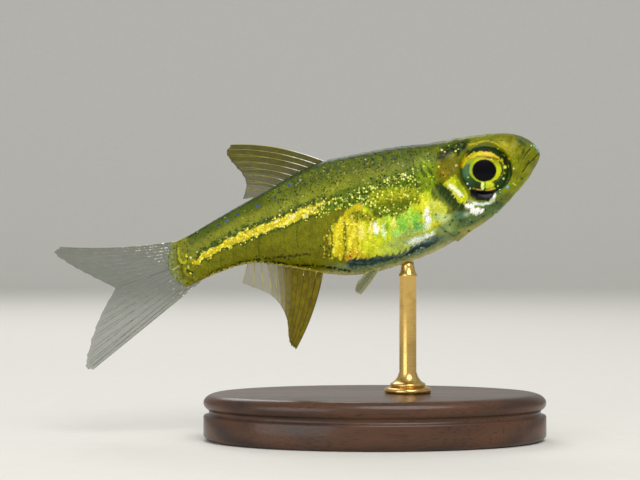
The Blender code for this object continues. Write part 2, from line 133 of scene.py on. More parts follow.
# Lines on the side of the head and body, as (distance back, height), and folds as (line, depth, half width)
MOUTH_HEIGHT = Profile((0, -0.03), (0.2, -0.16), (0.45, -0.3), (0.75, -0.45), (1.0, -0.66))
GILL_OPENING = [
    (4.45, 2.6), (4.6, 1.2), (5.15, 0.45), (5.5, -0.3), (5.62, -1.1), (5.5, -1.9), (5.05, -2.5), (4.7, -3.4),
]
HEAD_FOLDS = [
    ([(0.12, 0.3), (0.4, 0.2), (0.64, 0.05), (0.85, -0.15), (1.1, -0.5)], 0.03, 0.035),
    ([(0.7, -0.68), (1.1, -0.8), (1.6, -1.15), (2.1, -1.5), (2.5, -1.8)], 0.028, 0.04),
    ([(1.2, -1.12), (2.0, -1.62), (3.2, -2.15), (4.4, -2.5), (5.2, -2.62)], 0.04, 0.045),
    ([(4.1, 0.75), (3.95, 0.1), (3.75, -0.9), (3.3, -1.75), (2.6, -2.4)], 0.035, 0.05),
    ([(5.5, -1.45), (4.9, -1.5), (4.2, -1.62), (3.5, -1.9)], 0.022, 0.03),
    ([(4.95, -2.42), (4.2, -2.2), (3.4, -1.98), (2.7, -1.75)], 0.025, 0.035),
    ([(4.4, 1.3), (4.45, 0.8), (4.3, 0.35), (3.95, 0.1)], 0.02, 0.04),
    ([(3.4, -1.05), (3.0, -1.32), (2.4, -1.38), (1.9, -1.2), (1.55, -0.85)], 0.018, 0.035),
    ([(1.0, 0.95), (1.35, 0.45), (1.45, 0.0)], 0.015, 0.06),
]
PORES = [
    (1.45, -0.95), (1.9, -1.3), (2.45, -1.5), (3.05, -1.42), (3.6, -1.15), (3.95, -0.7), (2.1, 1.25),
    (2.8, 1.4),
]
STRIPE = Profile(
    (0, 0.0), (5.3, 0.17), (6.25, 0.27), (7.2, 0.36), (8.2, 0.45), (9.1, 0.51), (10.1, 0.54), (11.1, 0.53),
    (12.1, 0.45), (13.0, 0.4), (14.0, 0.34), (15.0, 0.25), (16.1, 0.05), (17.0, -0.2), (18.0, -0.3),
)


def place(back, up, left):
    """Points in metres, in the frame of the solids, for places on the fish."""
    back, up, left = np.broadcast_arrays(*(np.asarray(value, float) for value in (back, up, left)))
    share = np.maximum(0, back - BEND_FROM) / (BEND_TO - BEND_FROM)
    slope = 2 * BEND_SIDEWAYS * share / (BEND_TO - BEND_FROM)
    shrink = 1 / np.hypot(1, slope)
    x = -(back - left * slope * shrink)
    y = BEND_SIDEWAYS * share**2 + left * shrink
    turned_x = SNOUT_X + x * math.cos(PITCH) - up * math.sin(PITCH)
    turned_z = SNOUT_Z + x * math.sin(PITCH) + up * math.cos(PITCH)
    return np.stack([turned_x, y, turned_z], -1) * MM


def in_picture(back, up, left):
    """(back, up) on the middle plane where the picture shows near places. The far side mirrors them."""
    x, y, z = np.moveaxis(place(back, up, -np.abs(left)) / MM, -1, 0)
    growth = CAMERA_AWAY / (CAMERA_AWAY + y)
    x = FISH_MIDDLE[0] + (x - FISH_MIDDLE[0]) * growth - SNOUT_X
    z = FISH_MIDDLE[2] + (z - FISH_MIDDLE[2]) * growth - SNOUT_Z
    return -x * math.cos(PITCH) - z * math.sin(PITCH), z * math.cos(PITCH) - x * math.sin(PITCH)


def section(back, turn):
    """(up, left) on the body's plain section, at an angle from its widest point. Up is a quarter turn."""
    rise, spread = np.sin(turn), np.cos(turn)
    widest = WIDEST_AT(back)
    upper = rise > 0
    up = widest + rise * np.where(upper, TOP(back) - widest, widest - BOTTOM(back))
    roundness = np.where(upper, BACK_ROUNDNESS(back), BELLY_ROUNDNESS(back))
    return up, np.sign(spread) * np.abs(spread) ** roundness * HALF_WIDTH(back)


def side_width(back, up):
    """How far the plain skin is from the middle plane, at a distance back and a height."""
    widest = WIDEST_AT(back)
    upper = up > widest
    share = np.where(upper, (up - widest) / (TOP(back) - widest), (widest - up) / (widest - BOTTOM(back)))
    roundness = np.where(upper, BACK_ROUNDNESS(back), BELLY_ROUNDNESS(back))
    return HALF_WIDTH(back) * np.maximum(0, 1 - share * share) ** (roundness / 2)


def smooth_at(points, at, wanted):
    """Points of a smooth line that passes the given points at the given places along it."""
    slopes = np.gradient(points, at, axis=0)
    i = np.clip(np.searchsorted(at, wanted, side="right") - 1, 0, len(points) - 2)
    width = (at[i + 1] - at[i])[:, None]
    t = (wanted - at[i])[:, None] / width
    rise = t * t * (3 - 2 * t)
    swing = t * (1 - t) ** 2 * width * slopes[i] + t * t * (t - 1) * width * slopes[i + 1]
    return points[i] * (1 - rise) + points[i + 1] * rise + swing


# Soft masks on the side of the fish

def ramp(value, start, end):
    """0 before start, 1 after end, smooth between. It falls where end is less than start."""
    t = np.clip((value - start) / (end - start), 0, 1)
    return t * t * (3 - 2 * t)


def bump(value, middle, reach):
    return np.exp(-(((value - middle) / reach) ** 2))


def spot(back, up, at, size, turn=0.0, blur=0.5):
    """1 inside an ellipse of that half length and half height, turned by degrees nose down, 0 outside."""
    turn = math.radians(turn)
    along = (back - at[0]) * math.cos(turn) + (up - at[1]) * math.sin(turn)
    across = (up - at[1]) * math.cos(turn) - (back - at[0]) * math.sin(turn)
    return ramp(np.hypot(along / size[0], across / size[1]), 1 + blur, 1 - blur)


def line_distance(back, up, points):
    """Distance from a line of points, positive on its left as it runs, and the share of the way along."""
    best = np.full(np.shape(back), 1e9)
    signed, share = best.copy(), best.copy()
    for i, ((x0, y0), (x1, y1)) in enumerate(zip(points, points[1:])):
        dx, dy = x1 - x0, y1 - y0
        t = np.clip(((back - x0) * dx + (up - y0) * dy) / (dx * dx + dy * dy), 0, 1)
        away = np.hypot(back - x0 - t * dx, up - y0 - t * dy)
        side = np.sign(dx * (up - y0) - dy * (back - x0))
        nearer = away < best
        best = np.where(nearer, away, best)
        signed = np.where(nearer, away * side, signed)
        share = np.where(nearer, (i + t) / (len(points) - 1), share)
    return signed, share


def streak(back, up, points, half_width, blur=0.5):
    signed, _ = line_distance(back, up, points)
    return ramp(np.abs(signed), half_width * (1 + blur), half_width * (1 - blur))


def inside(back, up, outline, blur=0.1):
    """1 inside a closed outline, 0 outside, with an edge that wide."""
    closed = [*outline, outline[0]]
    signed, _ = line_distance(back, up, closed)
    crossings = np.zeros(np.shape(back), int)
    for (x0, y0), (x1, y1) in zip(closed, closed[1:]):
        if y0 != y1:
            spans = (up > min(y0, y1)) & (up <= max(y0, y1))
            crossings += spans & (back < x0 + (up - y0) * (x1 - x0) / (y1 - y0))
    return ramp(np.where(crossings % 2 == 1, np.abs(signed), -np.abs(signed)), -blur, blur)


# Colours

def colour(red, green, blue):
    """A linear colour from a display one."""
    share = np.array([red, green, blue]) / 255
    return np.where(share <= 0.04045, share / 12.92, ((share + 0.055) / 1.055) ** 2.4)


def linear(tone):
    """A linear colour as it is, or from a display one as a tuple."""
    return colour(*tone) if isinstance(tone, tuple) else tone


FLANK = colour(110, 110, 8)
BACK = colour(92, 102, 22)
BACK_RIDGE = colour(44, 60, 30)
BACK_MARK = colour(46, 74, 54)
UPPER_FLANK = colour(128, 136, 28)
TAIL_STEM_BACK = colour(74, 88, 20)
PALE_OLIVE = colour(122, 126, 18)
GREEN_LINE = colour(40, 66, 12)
LEAF = colour(150, 186, 24)
DARK = colour(18, 28, 8)
PALE_BLUE = colour(170, 196, 200)
SKY = colour(110, 190, 200)
BRIGHT_BLUE = colour(60, 76, 170)
SILVER = colour(236, 240, 226)
WHITE = colour(255, 255, 246)
CREAM = colour(244, 236, 160)
GOLD = colour(222, 200, 22)
PALE_GOLD = colour(250, 238, 72)
AMBER = colour(206, 158, 12)
ORANGE = colour(226, 140, 26)
LEMON = colour(236, 240, 50)
YELLOW_GREEN = colour(188, 212, 36)
BELLY_GREEN = colour(150, 208, 70)
# Painted shadow of the eye socket's rim, on the skin round the eye and on the eyeball's top edge
ORBIT_SHADOW_TONE = colour(26, 46, 18)

# Outlines of markings on the side
BELLY = [
    (10.9, -1.75), (10.72, -1.05), (10.35, -0.5), (9.8, -0.2), (9.3, 0.02), (8.75, 0.06), (8.45, -0.3),
    (8.2, -0.72), (7.75, -0.78), (7.2, -0.9), (6.85, -0.82), (6.55, -0.62), (6.1, -0.6), (5.95, -0.35),
    (5.7, -0.15), (5.3, -0.35), (5.05, -0.7), (4.92, -1.0), (4.95, -1.4), (5.35, -1.75), (5.7, -2.1),
    (6.2, -2.32), (7.2, -2.46), (7.6, -2.58), (8.0, -2.5), (8.6, -2.42), (9.3, -2.3), (10.2, -2.06),
]
CLOUD = [
    (11.2, 0.62), (10.0, 0.74), (9.3, 0.8), (8.55, 0.82), (7.9, 0.78), (7.4, 0.78), (6.75, 0.8), (6.35, 0.88),
    (5.95, 0.84), (5.6, 0.92), (5.1, 1.12), (4.75, 0.9), (4.95, 0.3), (5.3, -0.25), (5.9, -0.4),
    (6.45, -0.04),
    (7.75, 0.04), (7.98, -0.1), (8.1, -0.32), (8.5, -0.1), (8.7, 0.08), (9.2, 0.12), (9.8, 0.24),
    (11.2, 0.28),
]
GOLDEN = [
    (8.35, 0.1), (8.0, 0.55), (7.3, 0.47), (6.4, 0.22), (5.95, 0.05), (6.0, -0.35), (6.5, -0.3), (6.8, -0.2),
    (7.5, -0.05), (7.9, -0.12),
]
POCKET = [
    (8.0, -0.3), (7.78, -0.17), (7.2, -0.3), (6.85, -0.36), (6.45, -0.38), (6.25, -0.55), (6.6, -0.72),
    (6.99, -0.92), (7.43, -0.94), (7.9, -0.88), (8.12, -0.7),
]
CHEEK_PATCH = [
    (4.74, -0.11), (4.5, 0.0), (4.25, 0.08), (4.08, 0.06), (4.01, -0.17), (3.83, -0.61), (3.79, -0.96),
    (3.88, -1.13), (3.98, -1.16), (4.03, -1.3), (4.13, -1.18), (4.26, -1.22), (4.35, -0.93), (4.45, -0.69),
    (4.53, -0.39),
]
WHITE_PATCH = [
    (4.06, -1.3), (3.86, -1.36), (3.65, -1.48), (3.68, -1.6), (3.5, -1.66), (3.22, -1.86), (3.46, -1.93),
    (3.76, -1.94), (3.94, -1.74), (3.86, -1.62), (4.05, -1.5),
]
OPERCLE_DARK = [
    (5.1, 0.08), (4.74, -0.08), (4.56, -0.3), (4.36, -0.74), (4.24, -1.02), (4.06, -1.22), (3.99, -1.44),
    (4.24, -1.58), (4.6, -1.46), (4.84, -1.12), (5.1, -0.8), (5.34, -0.66), (5.42, -0.5), (5.25, -0.2),
]
NAPE_DARK = [
    (4.6, 1.84), (3.9, 1.86), (3.47, 1.84), (3.05, 1.7), (3.0, 1.45), (3.14, 1.26), (3.4, 1.06), (3.75, 1.02),
    (3.9, 1.2), (4.2, 1.05), (4.45, 0.85), (4.68, 0.95), (4.6, 1.25), (4.3, 1.4), (4.4, 1.7),
]
ORBIT_SHADOW = [
    (3.25, 0.98), (2.85, 1.01), (2.35, 0.94), (1.9, 0.73), (1.6, 0.38), (1.48, -0.12),
    (1.54, -0.58), (1.8, -0.9), (2.2, -1.08),
]
UNDER_EYE = [
    (3.66, -0.7), (3.1, -0.92), (2.5, -1.02), (2.6, -1.34), (2.97, -1.46), (3.4, -1.32), (3.7, -1.06),
]
SILVER_CRESCENT = [(3.82, -1.17), (3.72, -1.33), (3.45, -1.49), (3.19, -1.56), (2.94, -1.57), (2.71, -1.5)]
HEAD_REAR = [
    (4.2, 2.6), (4.55, 1.2), (4.98, 0.5), (5.06, 0.02), (4.92, -0.5), (4.72, -1.05), (4.75, -1.38),
    (5.15, -1.52), (5.55, -1.95), (5.05, -2.5),
]
FLANK_LOWER_LINE = [
    (16.6, -0.92), (16.2, -0.88), (15.4, -0.85), (14.67, -0.83), (13.75, -0.95), (12.58, -1.22),
    (11.7, -1.36),
]
FIN_BASE_LINE = [
    (14.08, -1.02), (13.33, -1.28), (12.47, -1.68), (11.5, -2.02), (10.98, -2.24), (10.07, -2.72),
]
STEEL_BAND = [
    (10.15, -2.1), (9.6, -2.24), (9.1, -2.36), (8.03, -2.52), (7.6, -2.6), (7.3, -2.5), (6.81, -2.36),
    (5.9, -2.3),
    (5.4, -2.42), (5.97, -2.68), (7.39, -2.78), (8.79, -2.76), (9.5, -2.66), (10.1, -2.5),
]
BLUE_DOTS = [
    (15.32, 1.16), (14.9, 1.24), (14.33, 1.34), (13.33, 1.44), (12.45, 1.6), (11.64, 1.96), (11.1, 2.03),
]
CLOUD_RIM = [(9.6, 0.86), (8.5, 0.95), (7.5, 1.0), (6.5, 0.97), (5.8, 1.02)]
SPARKLE = [(11.2, 0.48), (10.0, 0.54), (8.6, 0.66), (7.4, 0.72), (6.2, 0.78), (5.5, 0.86)]
LEAF_PATCH = [(8.75, 0.0), (8.45, -0.02), (8.2, -0.5), (8.6, -0.6), (8.75, -0.35)]
BELLY_CREASE = [(7.4, -1.9), (6.83, -1.97), (6.44, -1.99), (5.9, -2.0), (5.45, -1.93)]
WHITE_EDGE = [(7.3, -2.2), (6.7, -2.1), (5.9, -2.08), (5.75, -2.22), (6.3, -2.32), (6.95, -2.36)]
BEHIND_EYE = [(4.8, 0.9), (4.2, 1.0), (3.75, 0.8), (3.9, 0.2), (4.4, 0.0), (4.9, 0.3)]

# Patches of the belly, as (middle, size, turn, tone)
BELLY_PATCHES = [
    ((9.02, -1.1), (0.12, 0.34), 14, (255, 238, 110)), ((8.76, -1.1), (0.05, 0.4), 14, (186, 192, 24)),
    ((8.55, -1.07), (0.09, 0.3), 14, (255, 246, 120)), ((8.36, -1.12), (0.1, 0.3), 10, WHITE),
    ((8.2, -1.27), (0.07, 0.16), 10, (252, 232, 60)), ((8.05, -1.42), (0.1, 0.36), 14, (232, 255, 190)),
    ((7.83, -1.15), (0.12, 0.26), 14, (140, 178, 40)), ((7.62, -1.19), (0.07, 0.18), 10, (240, 234, 80)),
    ((7.46, -1.12), (0.1, 0.22), 10, (242, 246, 136)), ((7.72, -0.86), (0.08, 0.18), 14, BELLY_GREEN),
    ((7.5, -1.65), (0.26, 0.17), 5, (176, 228, 106)), ((7.1, -1.3), (0.24, 0.34), 14, BELLY_GREEN),
    ((7.24, -0.98), (0.08, 0.14), 10, (140, 172, 44)), ((7.02, -0.96), (0.1, 0.16), 14, BELLY_GREEN),
    ((6.68, -1.0), (0.13, 0.36), 18, (188, 232, 80)), ((6.45, -1.25), (0.22, 0.34), 20, BELLY_GREEN),
    ((6.5, -1.62), (0.18, 0.22), 5, (104, 176, 84)), ((6.95, -1.55), (0.16, 0.16), 0, (138, 196, 78)),
    ((7.2, -1.45), (0.07, 0.14), 0, (120, 176, 44)), ((6.82, -1.82), (0.4, 0.1), 5, (170, 206, 108)),
    ((6.2, -1.72), (0.12, 0.16), 0, (176, 208, 146)), ((5.9, -1.4), (0.12, 0.46), 10, WHITE),
    ((6.0, -1.78), (0.12, 0.14), 0, (236, 250, 180)), ((5.6, -1.75), (0.22, 0.15), -10, (226, 226, 66)),
    ((5.43, -1.84), (0.05, 0.1), 0, (140, 146, 40)),
]
BELLY_CUTS = [
    ([(9.6, -0.3), (9.7, -0.6), (9.9, -1.2), (10.12, -1.98)], 0.06),
    ([(10.35, -0.5), (10.48, -1.07), (10.72, -1.8)], 0.06),
    ([(9.08, -0.35), (9.16, -0.62)], 0.05),
]

# Spots of the head, as (middle, size, turn, blur, strength, tone)
FACE_SPOTS = [
    ((1.5, 0.75), (0.75, 0.5), -35, 0.8, 1.0, (122, 120, 6)),
    ((1.4, 0.62), (0.3, 0.36), -35, 0.8, 0.85, (158, 152, 16)),
    ((1.15, -0.4), (0.22, 0.45), -10, 0.8, 0.8, (128, 134, 12)),
    ((0.72, -0.66), (0.24, 0.12), -40, 0.8, 0.8, (146, 148, 14)),
    ((1.1, 1.02), (0.25, 0.12), -35, 0.8, 0.8, (96, 100, 8)),
]
CHEEK_SPOTS = [
    ((4.42, -1.74), (0.42, 0.24), -5, 0.7, 1.0, (84, 118, 84)),
    ((4.45, -2.02), (0.35, 0.14), 0, 0.7, 0.8, (66, 92, 54)),
    ((5.3, -2.05), (0.42, 0.3), 0, 0.7, 1.0, (146, 166, 100)),
    ((5.25, -1.64), (0.35, 0.18), 0, 0.7, 0.9, (204, 218, 136)),
    ((4.85, -1.95), (0.4, 0.2), 0, 0.7, 0.7, (112, 134, 70)),
    ((4.2, -2.46), (0.5, 0.1), 8, 0.7, 0.8, (164, 160, 78)),
    ((4.12, -1.78), (0.14, 0.1), 0, 0.7, 0.7, (170, 190, 156)),
    ((2.65, -1.75), (0.42, 0.2), 25, 0.6, 1.0, (74, 98, 50)),
    ((2.35, -1.26), (0.25, 0.06), 30, 0.7, 0.7, (96, 128, 96)),
    ((2.05, -1.55), (0.5, 0.2), 40, 0.8, 0.7, (90, 98, 28)),
]

# Strokes over the eye, as (line, half width, blur, strength, tone)
BROW_STROKES = [
    ([(3.1, 1.02), (2.7, 1.04), (2.35, 1.0)], 0.05, 0.8, 0.6, (62, 84, 74)),
    ([(2.75, 1.17), (2.3, 1.12), (2.0, 1.0)], 0.04, 0.8, 0.7, (98, 100, 56)),
    (
        [(3.05, 1.3), (2.71, 1.22), (2.42, 1.26), (2.09, 1.2), (1.85, 1.02), (1.72, 0.8)],
        0.04, 0.9, 0.8, (174, 166, 28),
    ),
]

# Small bright marks of the head, as (middle, size, tone), its dark dots, and its dark lines. The four blue
# marks at the snout tip are a painted highlight of the upper lip.
HEAD_LIGHTS = [
    ((1.44, 0.12), 0.065, GOLD), ((1.65, -0.2), 0.08, PALE_GOLD), ((1.74, -0.49), 0.06, GOLD * 0.5),
    ((1.93, -0.7), 0.055, CREAM * 0.7), ((1.38, -0.38), 0.035, CREAM), ((1.9, -1.13), 0.075, SKY),
    ((1.6, -1.03), 0.03, SKY), ((3.66, -0.41), 0.045, WHITE), ((3.6, -0.68), 0.035, SILVER),
    ((4.6, 0.42), 0.055, ORANGE * 0.85), ((4.57, 0.22), 0.045, ORANGE * 0.85), ((3.91, 0.54), 0.05, CREAM),
    ((4.34, 1.4), 0.05, CREAM), ((4.23, 1.29), 0.04, GOLD), ((3.73, 1.2), 0.045, PALE_GOLD),
    ((4.71, 0.71), 0.045, PALE_GOLD), ((0.28, 0.4), 0.035, PALE_BLUE), ((0.34, 0.3), 0.035, PALE_BLUE),
    ((0.15, 0.36), 0.045, SKY), ((0.08, 0.22), 0.035, PALE_BLUE),
]
HEAD_DOTS = [
    (5.49, -1.34), (5.12, -1.6), (4.5, -1.95), (4.83, -1.85), (5.01, -1.98), (4.73, -2.45), (2.34, -1.59),
    (2.59, -1.67), (3.98, -2.2), (4.25, -2.55), (5.3, -2.25), (3.4, -2.1), (1.15, -0.95),
]
# The dark lines are painted shade in the grooves of the snout and in the mouth cleft
HEAD_LINES = [
    ([(0.61, -0.24), (0.8, -0.46), (0.97, -0.63)], 0.03, 0.9), ([(0.34, 0.31), (0.61, 0.11)], 0.035, 0.85),
    ([(0.68, 0.36), (0.78, 0.12)], 0.05, 0.5), ([(0.61, 0.11), (0.78, -0.1)], 0.02, 0.7),
    ([(1.02, 0.02), (1.12, -0.22)], 0.025, 0.5), ([(0.32, -0.25), (0.38, -0.35)], 0.03, 0.6),
    ([(1.3, -0.75), (1.42, -0.88)], 0.03, 0.5),
]

# Lines at the root of the tail fin, as (line, half width, tone)
TAIL_ROOT_LINES = [
    ([(17.46, 0.84), (17.53, 0.62), (17.61, 0.32), (17.66, 0.02)], 0.045, (76, 82, 8)),
    ([(17.55, -0.11), (17.58, -0.34), (17.64, -0.73)], 0.05, (82, 86, 8)),
    ([(17.33, -0.38), (17.33, -0.5), (17.2, -0.55)], 0.05, (60, 60, 4)),
    (
        [(17.42, 0.66), (17.5, 0.45), (17.55, 0.2), (17.5, 0), (17.36, -0.06), (17.28, 0.04)],
        0.05, (170, 172, 20),
    ),
    ([(17.47, -0.3), (17.46, -0.5), (17.4, -0.66)], 0.045, (150, 148, 22)),
    ([(18.0, -0.2), (17.83, -0.16), (17.7, -0.13)], 0.025, (190, 188, 110)),
    ([(17.2, 0.28), (17.15, 0.17)], 0.025, LEMON), ([(17.27, -0.27), (17.27, -0.33)], 0.045, (236, 230, 80)),
    ([(17.04, 0.12), (17.04, 0.08)], 0.035, CREAM), ([(18.2, 0.78), (18.14, 0.74)], 0.04, SILVER),
    ([(18.24, 0.52), (18.2, 0.5)], 0.03, SILVER), ([(18.12, 0.42), (18.1, 0.36)], 0.03, CREAM),
]

# Marks of the eye, ahead of and above the middle of its pupil
EYE_PATCHES = [
    ((0.2, -0.68), (0.26, 0.17), (196, 212, 34)), ((0.2, -0.58), (0.12, 0.1), (216, 222, 44)),
    ((-0.08, -0.72), (0.08, 0.2), (236, 255, 140)), ((0.12, -0.74), (0.06, 0.1), (196, 214, 60)),
    ((0.035, -0.7), (0.022, 0.18), (70, 96, 20)), ((0.34, -0.82), (0.16, 0.05), (186, 176, 30)),
]
EYE_LIGHTS = [
    ((-0.79, -0.62), 0.045, WHITE), ((-0.66, -0.82), 0.035, WHITE), ((0.97, 0.16), 0.07, PALE_GOLD),
    ((0.95, -0.12), 0.045, GOLD * 0.5), ((0.9, -0.38), 0.045, CREAM * 0.8), ((-1.0, 0.24), 0.06, AMBER * 1.3),
]


def ripple(back, up, size, seed):
    """A smooth uneven wave, mostly from -1 to 1, with features of about that size."""
    random = np.random.default_rng(seed)
    total = 0
    for turn, phase, stretch in zip(*(random.uniform(0, 1, (3, 8)))):
        turn, length = turn * 2 * math.pi, size * (0.6 + stretch)
        way = back * math.cos(turn) + up * math.sin(turn)
        total = total + np.sin(way * 2 * math.pi / length + phase * 7)
    return total / 2.8


class Paint:
    """What a surface shows at places on the side: its tone, shining grains, dark specks and shine."""

    def __init__(self, back, up):
        self.back, self.up = back, up
        count = len(back)
        self.tone = np.tile(FLANK, (count, 1))
        self.grain = np.tile(PALE_GOLD, (count, 1))
        self.glints, self.specks, self.shine = np.zeros((3, count))

    def lay(self, mask, tone=None, grain=None, glints=None, specks=None, shine=None):
        """Mixes in what is given, as far as the mask is 1."""
        given = {"tone": tone, "grain": grain, "glints": glints, "specks": specks, "shine": shine}
        for name, value in given.items():
            if value is not None:
                old = getattr(self, name)
                share = mask[:, None] if old.ndim == 2 else mask
                setattr(self, name, old + (linear(value) - old) * share)

    def lay_spots(self, rows, **others):
        """Lays spots in order, from (middle, size, turn, blur, strength, tone) rows."""
        for at, size, turn, blur, strength, tone in rows:
            self.lay(self.spot(at, size, turn, blur) * strength, tone, **others)

    def lay_strokes(self, rows, **others):
        """Lays strokes in order, from (line, half width, blur, strength, tone) rows."""
        for line, half_width, blur, strength, tone in rows:
            self.lay(self.streak(line, half_width, blur) * strength, tone, **others)

    def spot(self, at, size, turn=0.0, blur=0.5):
        return spot(self.back, self.up, at, size, turn, blur)

    def streak(self, points, half_width, blur=0.5):
        return streak(self.back, self.up, points, half_width, blur)

    def wave(self, size, seed, start, end):
        """Uneven patches of about that size, where a ripple goes from start to end."""
        return ramp(ripple(self.back, self.up, size, seed), start, end)

    def uneven(self, reach, size, seed):
        """A wandering shift of about that reach, in wide and in fine waves."""
        fine = ripple(self.back, self.up, size * 0.35, seed + 1)
        return reach * (ripple(self.back, self.up, size, seed) + 0.6 * fine)

    def ragged(self, outline, blur=0.05, reach=0.04, size=0.3, seed=0):
        """inside() with an edge that wanders."""
        shift = self.uneven(reach, size, seed)
        return inside(self.back + shift, self.up - shift, outline, blur)


def paint_back_and_flank(fish):
    back, up = fish.back, fish.up
    above = up - STRIPE(back)
    share = above / np.maximum(TOP(back) - STRIPE(back), 1e-6)
    stem = ramp(back, 11.5, 13.5)
    fish.lay(ramp(above, -0.25, 0.1), UPPER_FLANK, (150, 152, 60), glints=0.08, specks=0.9)
    fish.lay(ramp(share, 0.25, 0.7) * (1 - stem), BACK, (138, 138, 60), glints=0.1, specks=1.0)
    fish.lay(ramp(share, 0.1, 0.5) * ramp(back, 7.0, 5.6) * 0.8, (86, 98, 12), glints=0.04)
    fish.lay(ramp(share, 0.15, 0.75) * stem, TAIL_STEM_BACK, glints=0.02, specks=0.3)
    fish.lay(bump(share, 0.45, 0.17) * stem, PALE_OLIVE, specks=0.12)
    beat = np.cos(2 * math.pi * (back - 0.1 * up) / 0.43 + 1.3 * ripple(back, up, 1.7, 3))
    marks = ramp(beat, -0.4, 0.9) * bump(share, 0.78, 0.14) * fish.wave(0.35, 4, -0.9, -0.1)
    fish.lay(marks * 0.85 * ramp(back, 13.0, 11.0) * ramp(back, 4.8, 6.5), BACK_MARK, specks=0.9)
    fish.lay(ramp(share, 0.84, 1.0) * ramp(back, 2.5, 5.0), BACK_RIDGE, specks=0.7)
    for i, dot in enumerate(BLUE_DOTS):
        odd = i % 2
        fish.lay(fish.spot(dot, (0.055 + 0.02 * odd, 0.05)), BRIGHT_BLUE * (0.6 + 0.4 * odd), specks=0)
    below = ramp(above, -0.1, -0.5) * ramp(back, 9.5, 11.5)
    streaks = ramp(ripple(back * 0.35 + up * 0.9, up * 2.2, 0.9, 5), 0.0, 1.0)
    fish.lay(below * streaks * 0.5, PALE_OLIVE * 0.95)
    fish.lay(below, glints=0, specks=0.03)
    for i, at in enumerate(np.arange(11.8, 16.8, 0.62)):
        fold = [(at, 0.1), (at + 0.22, -0.45), (at + 0.3, -1.0)]
        fish.lay(fish.streak(fold, 0.018) * below * (0.4 if i % 3 else 0.8), GREEN_LINE)


def paint_stripe(fish):
    """The gold line of the tail's stem."""
    back, up = fish.back, fish.up
    above = up - STRIPE(back) + fish.uneven(0.045, 0.45, 11)
    solid = ramp(back, 8.2, 9.8) * ramp(back, 17.2, 16.95)
    half = 0.165 + 0.075 * ramp(back, 16.5, 12.0) + 0.05 * bump(back, 14.4, 0.4)
    border = bump(above, half + 0.13, 0.1) * fish.wave(0.3, 13, -0.6, 0.3)
    fish.lay(border * ramp(back, 8.2, 10.0), GREEN_LINE, specks=0.9)
    fish.lay(ramp(np.abs(above), half * 1.75, half * 1.05) * solid, GREEN_LINE * 1.3, PALE_GOLD, glints=0.34)
    core = ramp(np.abs(above), half * 1.05, half * 0.6) * solid
    fish.lay(core, GOLD * 0.8, PALE_GOLD, glints=0.96, specks=0, shine=0.5)
    fish.lay(core * fish.wave(0.4, 12, 0.1, 0.8) * ramp(back, 15.0, 13.5), (240, 228, 70), CREAM)
    paint_cloud(fish, 1 - solid)


def paint_cloud(fish, loose):
    """The grains that the gold line scatters into over the fore body, most where loose is 1."""
    back, up = fish.back, fish.up
    mottle = ripple(back, up, 0.2, 14)
    fine = ripple(back, up, 0.17, 92) + 0.6 * ripple(back, up, 0.11, 93)
    cloud = fish.ragged(CLOUD, 0.16, 0.07, 0.4, 15) * ramp(back, 11.1, 10.3)
    fish.lay(cloud, (94, 118, 14), (226, 236, 96), glints=0.48, specks=0.8, shine=0.25)
    fish.lay(cloud * ramp(mottle, 0.0, -0.8) * 0.7, (66, 90, 14))
    rim = streak(back, up + fish.uneven(0.06, 0.4, 18), CLOUD_RIM, 0.13, 0.8)
    fish.lay(rim * 0.85, (84, 104, 22), glints=0.12, specks=0.9)
    sparkle = fish.streak(SPARKLE, 0.2, 0.7)
    fish.lay(sparkle * loose, grain=(240, 242, 124), glints=0.62)
    fish.lay(sparkle * ramp(fine, 0.25, 0.7) * 0.8, (30, 50, 8), glints=0.3)
    fish.lay(cloud * ramp(fine, 0.5, 0.9) * 0.7, (36, 56, 8), glints=0.3)
    rich = fish.ragged(GOLDEN, 0.14, 0.06, 0.3, 16)
    fish.lay(rich, (150, 162, 20), (244, 240, 104), glints=0.45, specks=0.3)
    fish.lay(rich * ramp(mottle, 0.0, 0.8) * 0.8, (186, 184, 30))
    fish.lay(rich * ramp(mottle, 0.1, -0.7) * 0.7, (112, 134, 14))
    fish.lay(rich * ramp(fine, 0.5, 0.9) * 0.6, (84, 98, 10))
    pocket = fish.ragged(POCKET, 0.1, 0.06, 0.3, 17)
    fish.lay(pocket, (104, 122, 8), (220, 228, 110), glints=0.3, specks=0.35, shine=0)
    fish.lay(pocket * ramp(mottle, 0.2, -0.6) * 0.6, (92, 108, 8))
    fish.lay(pocket * ramp(fine, 0.45, 0.85) * 0.8, (48, 66, 6))
    fish.lay(fish.ragged(LEAF_PATCH, 0.08, 0.05), LEAF, specks=0.9)
    fish.lay(fish.ragged(LEAF_PATCH, 0.2, 0.05) * ramp(fine, 0.3, 0.8) * 0.7, (70, 96, 12))
    fish.lay(fish.spot((8.24, -0.5), (0.12, 0.14)) * 0.8, GREEN_LINE * 1.8)
    behind = fish.spot((5.2, 0.55), (0.55, 0.85), -12, 0.5)
    strokes = ramp(ripple(back * 2.2, up * 0.8, 0.55, 19), 0.1, 0.7)
    fish.lay(behind, (124, 144, 16), YELLOW_GREEN * 0.9, glints=0.1, specks=0.5)
    fish.lay(behind * strokes * 0.85, (58, 78, 10), glints=0.04)
    shoulder = fish.spot((5.55, -0.25), (0.3, 0.42), 20, 0.6)
    fish.lay(shoulder, (124, 142, 14), LEMON * 0.7, glints=0.12, specks=0.3)


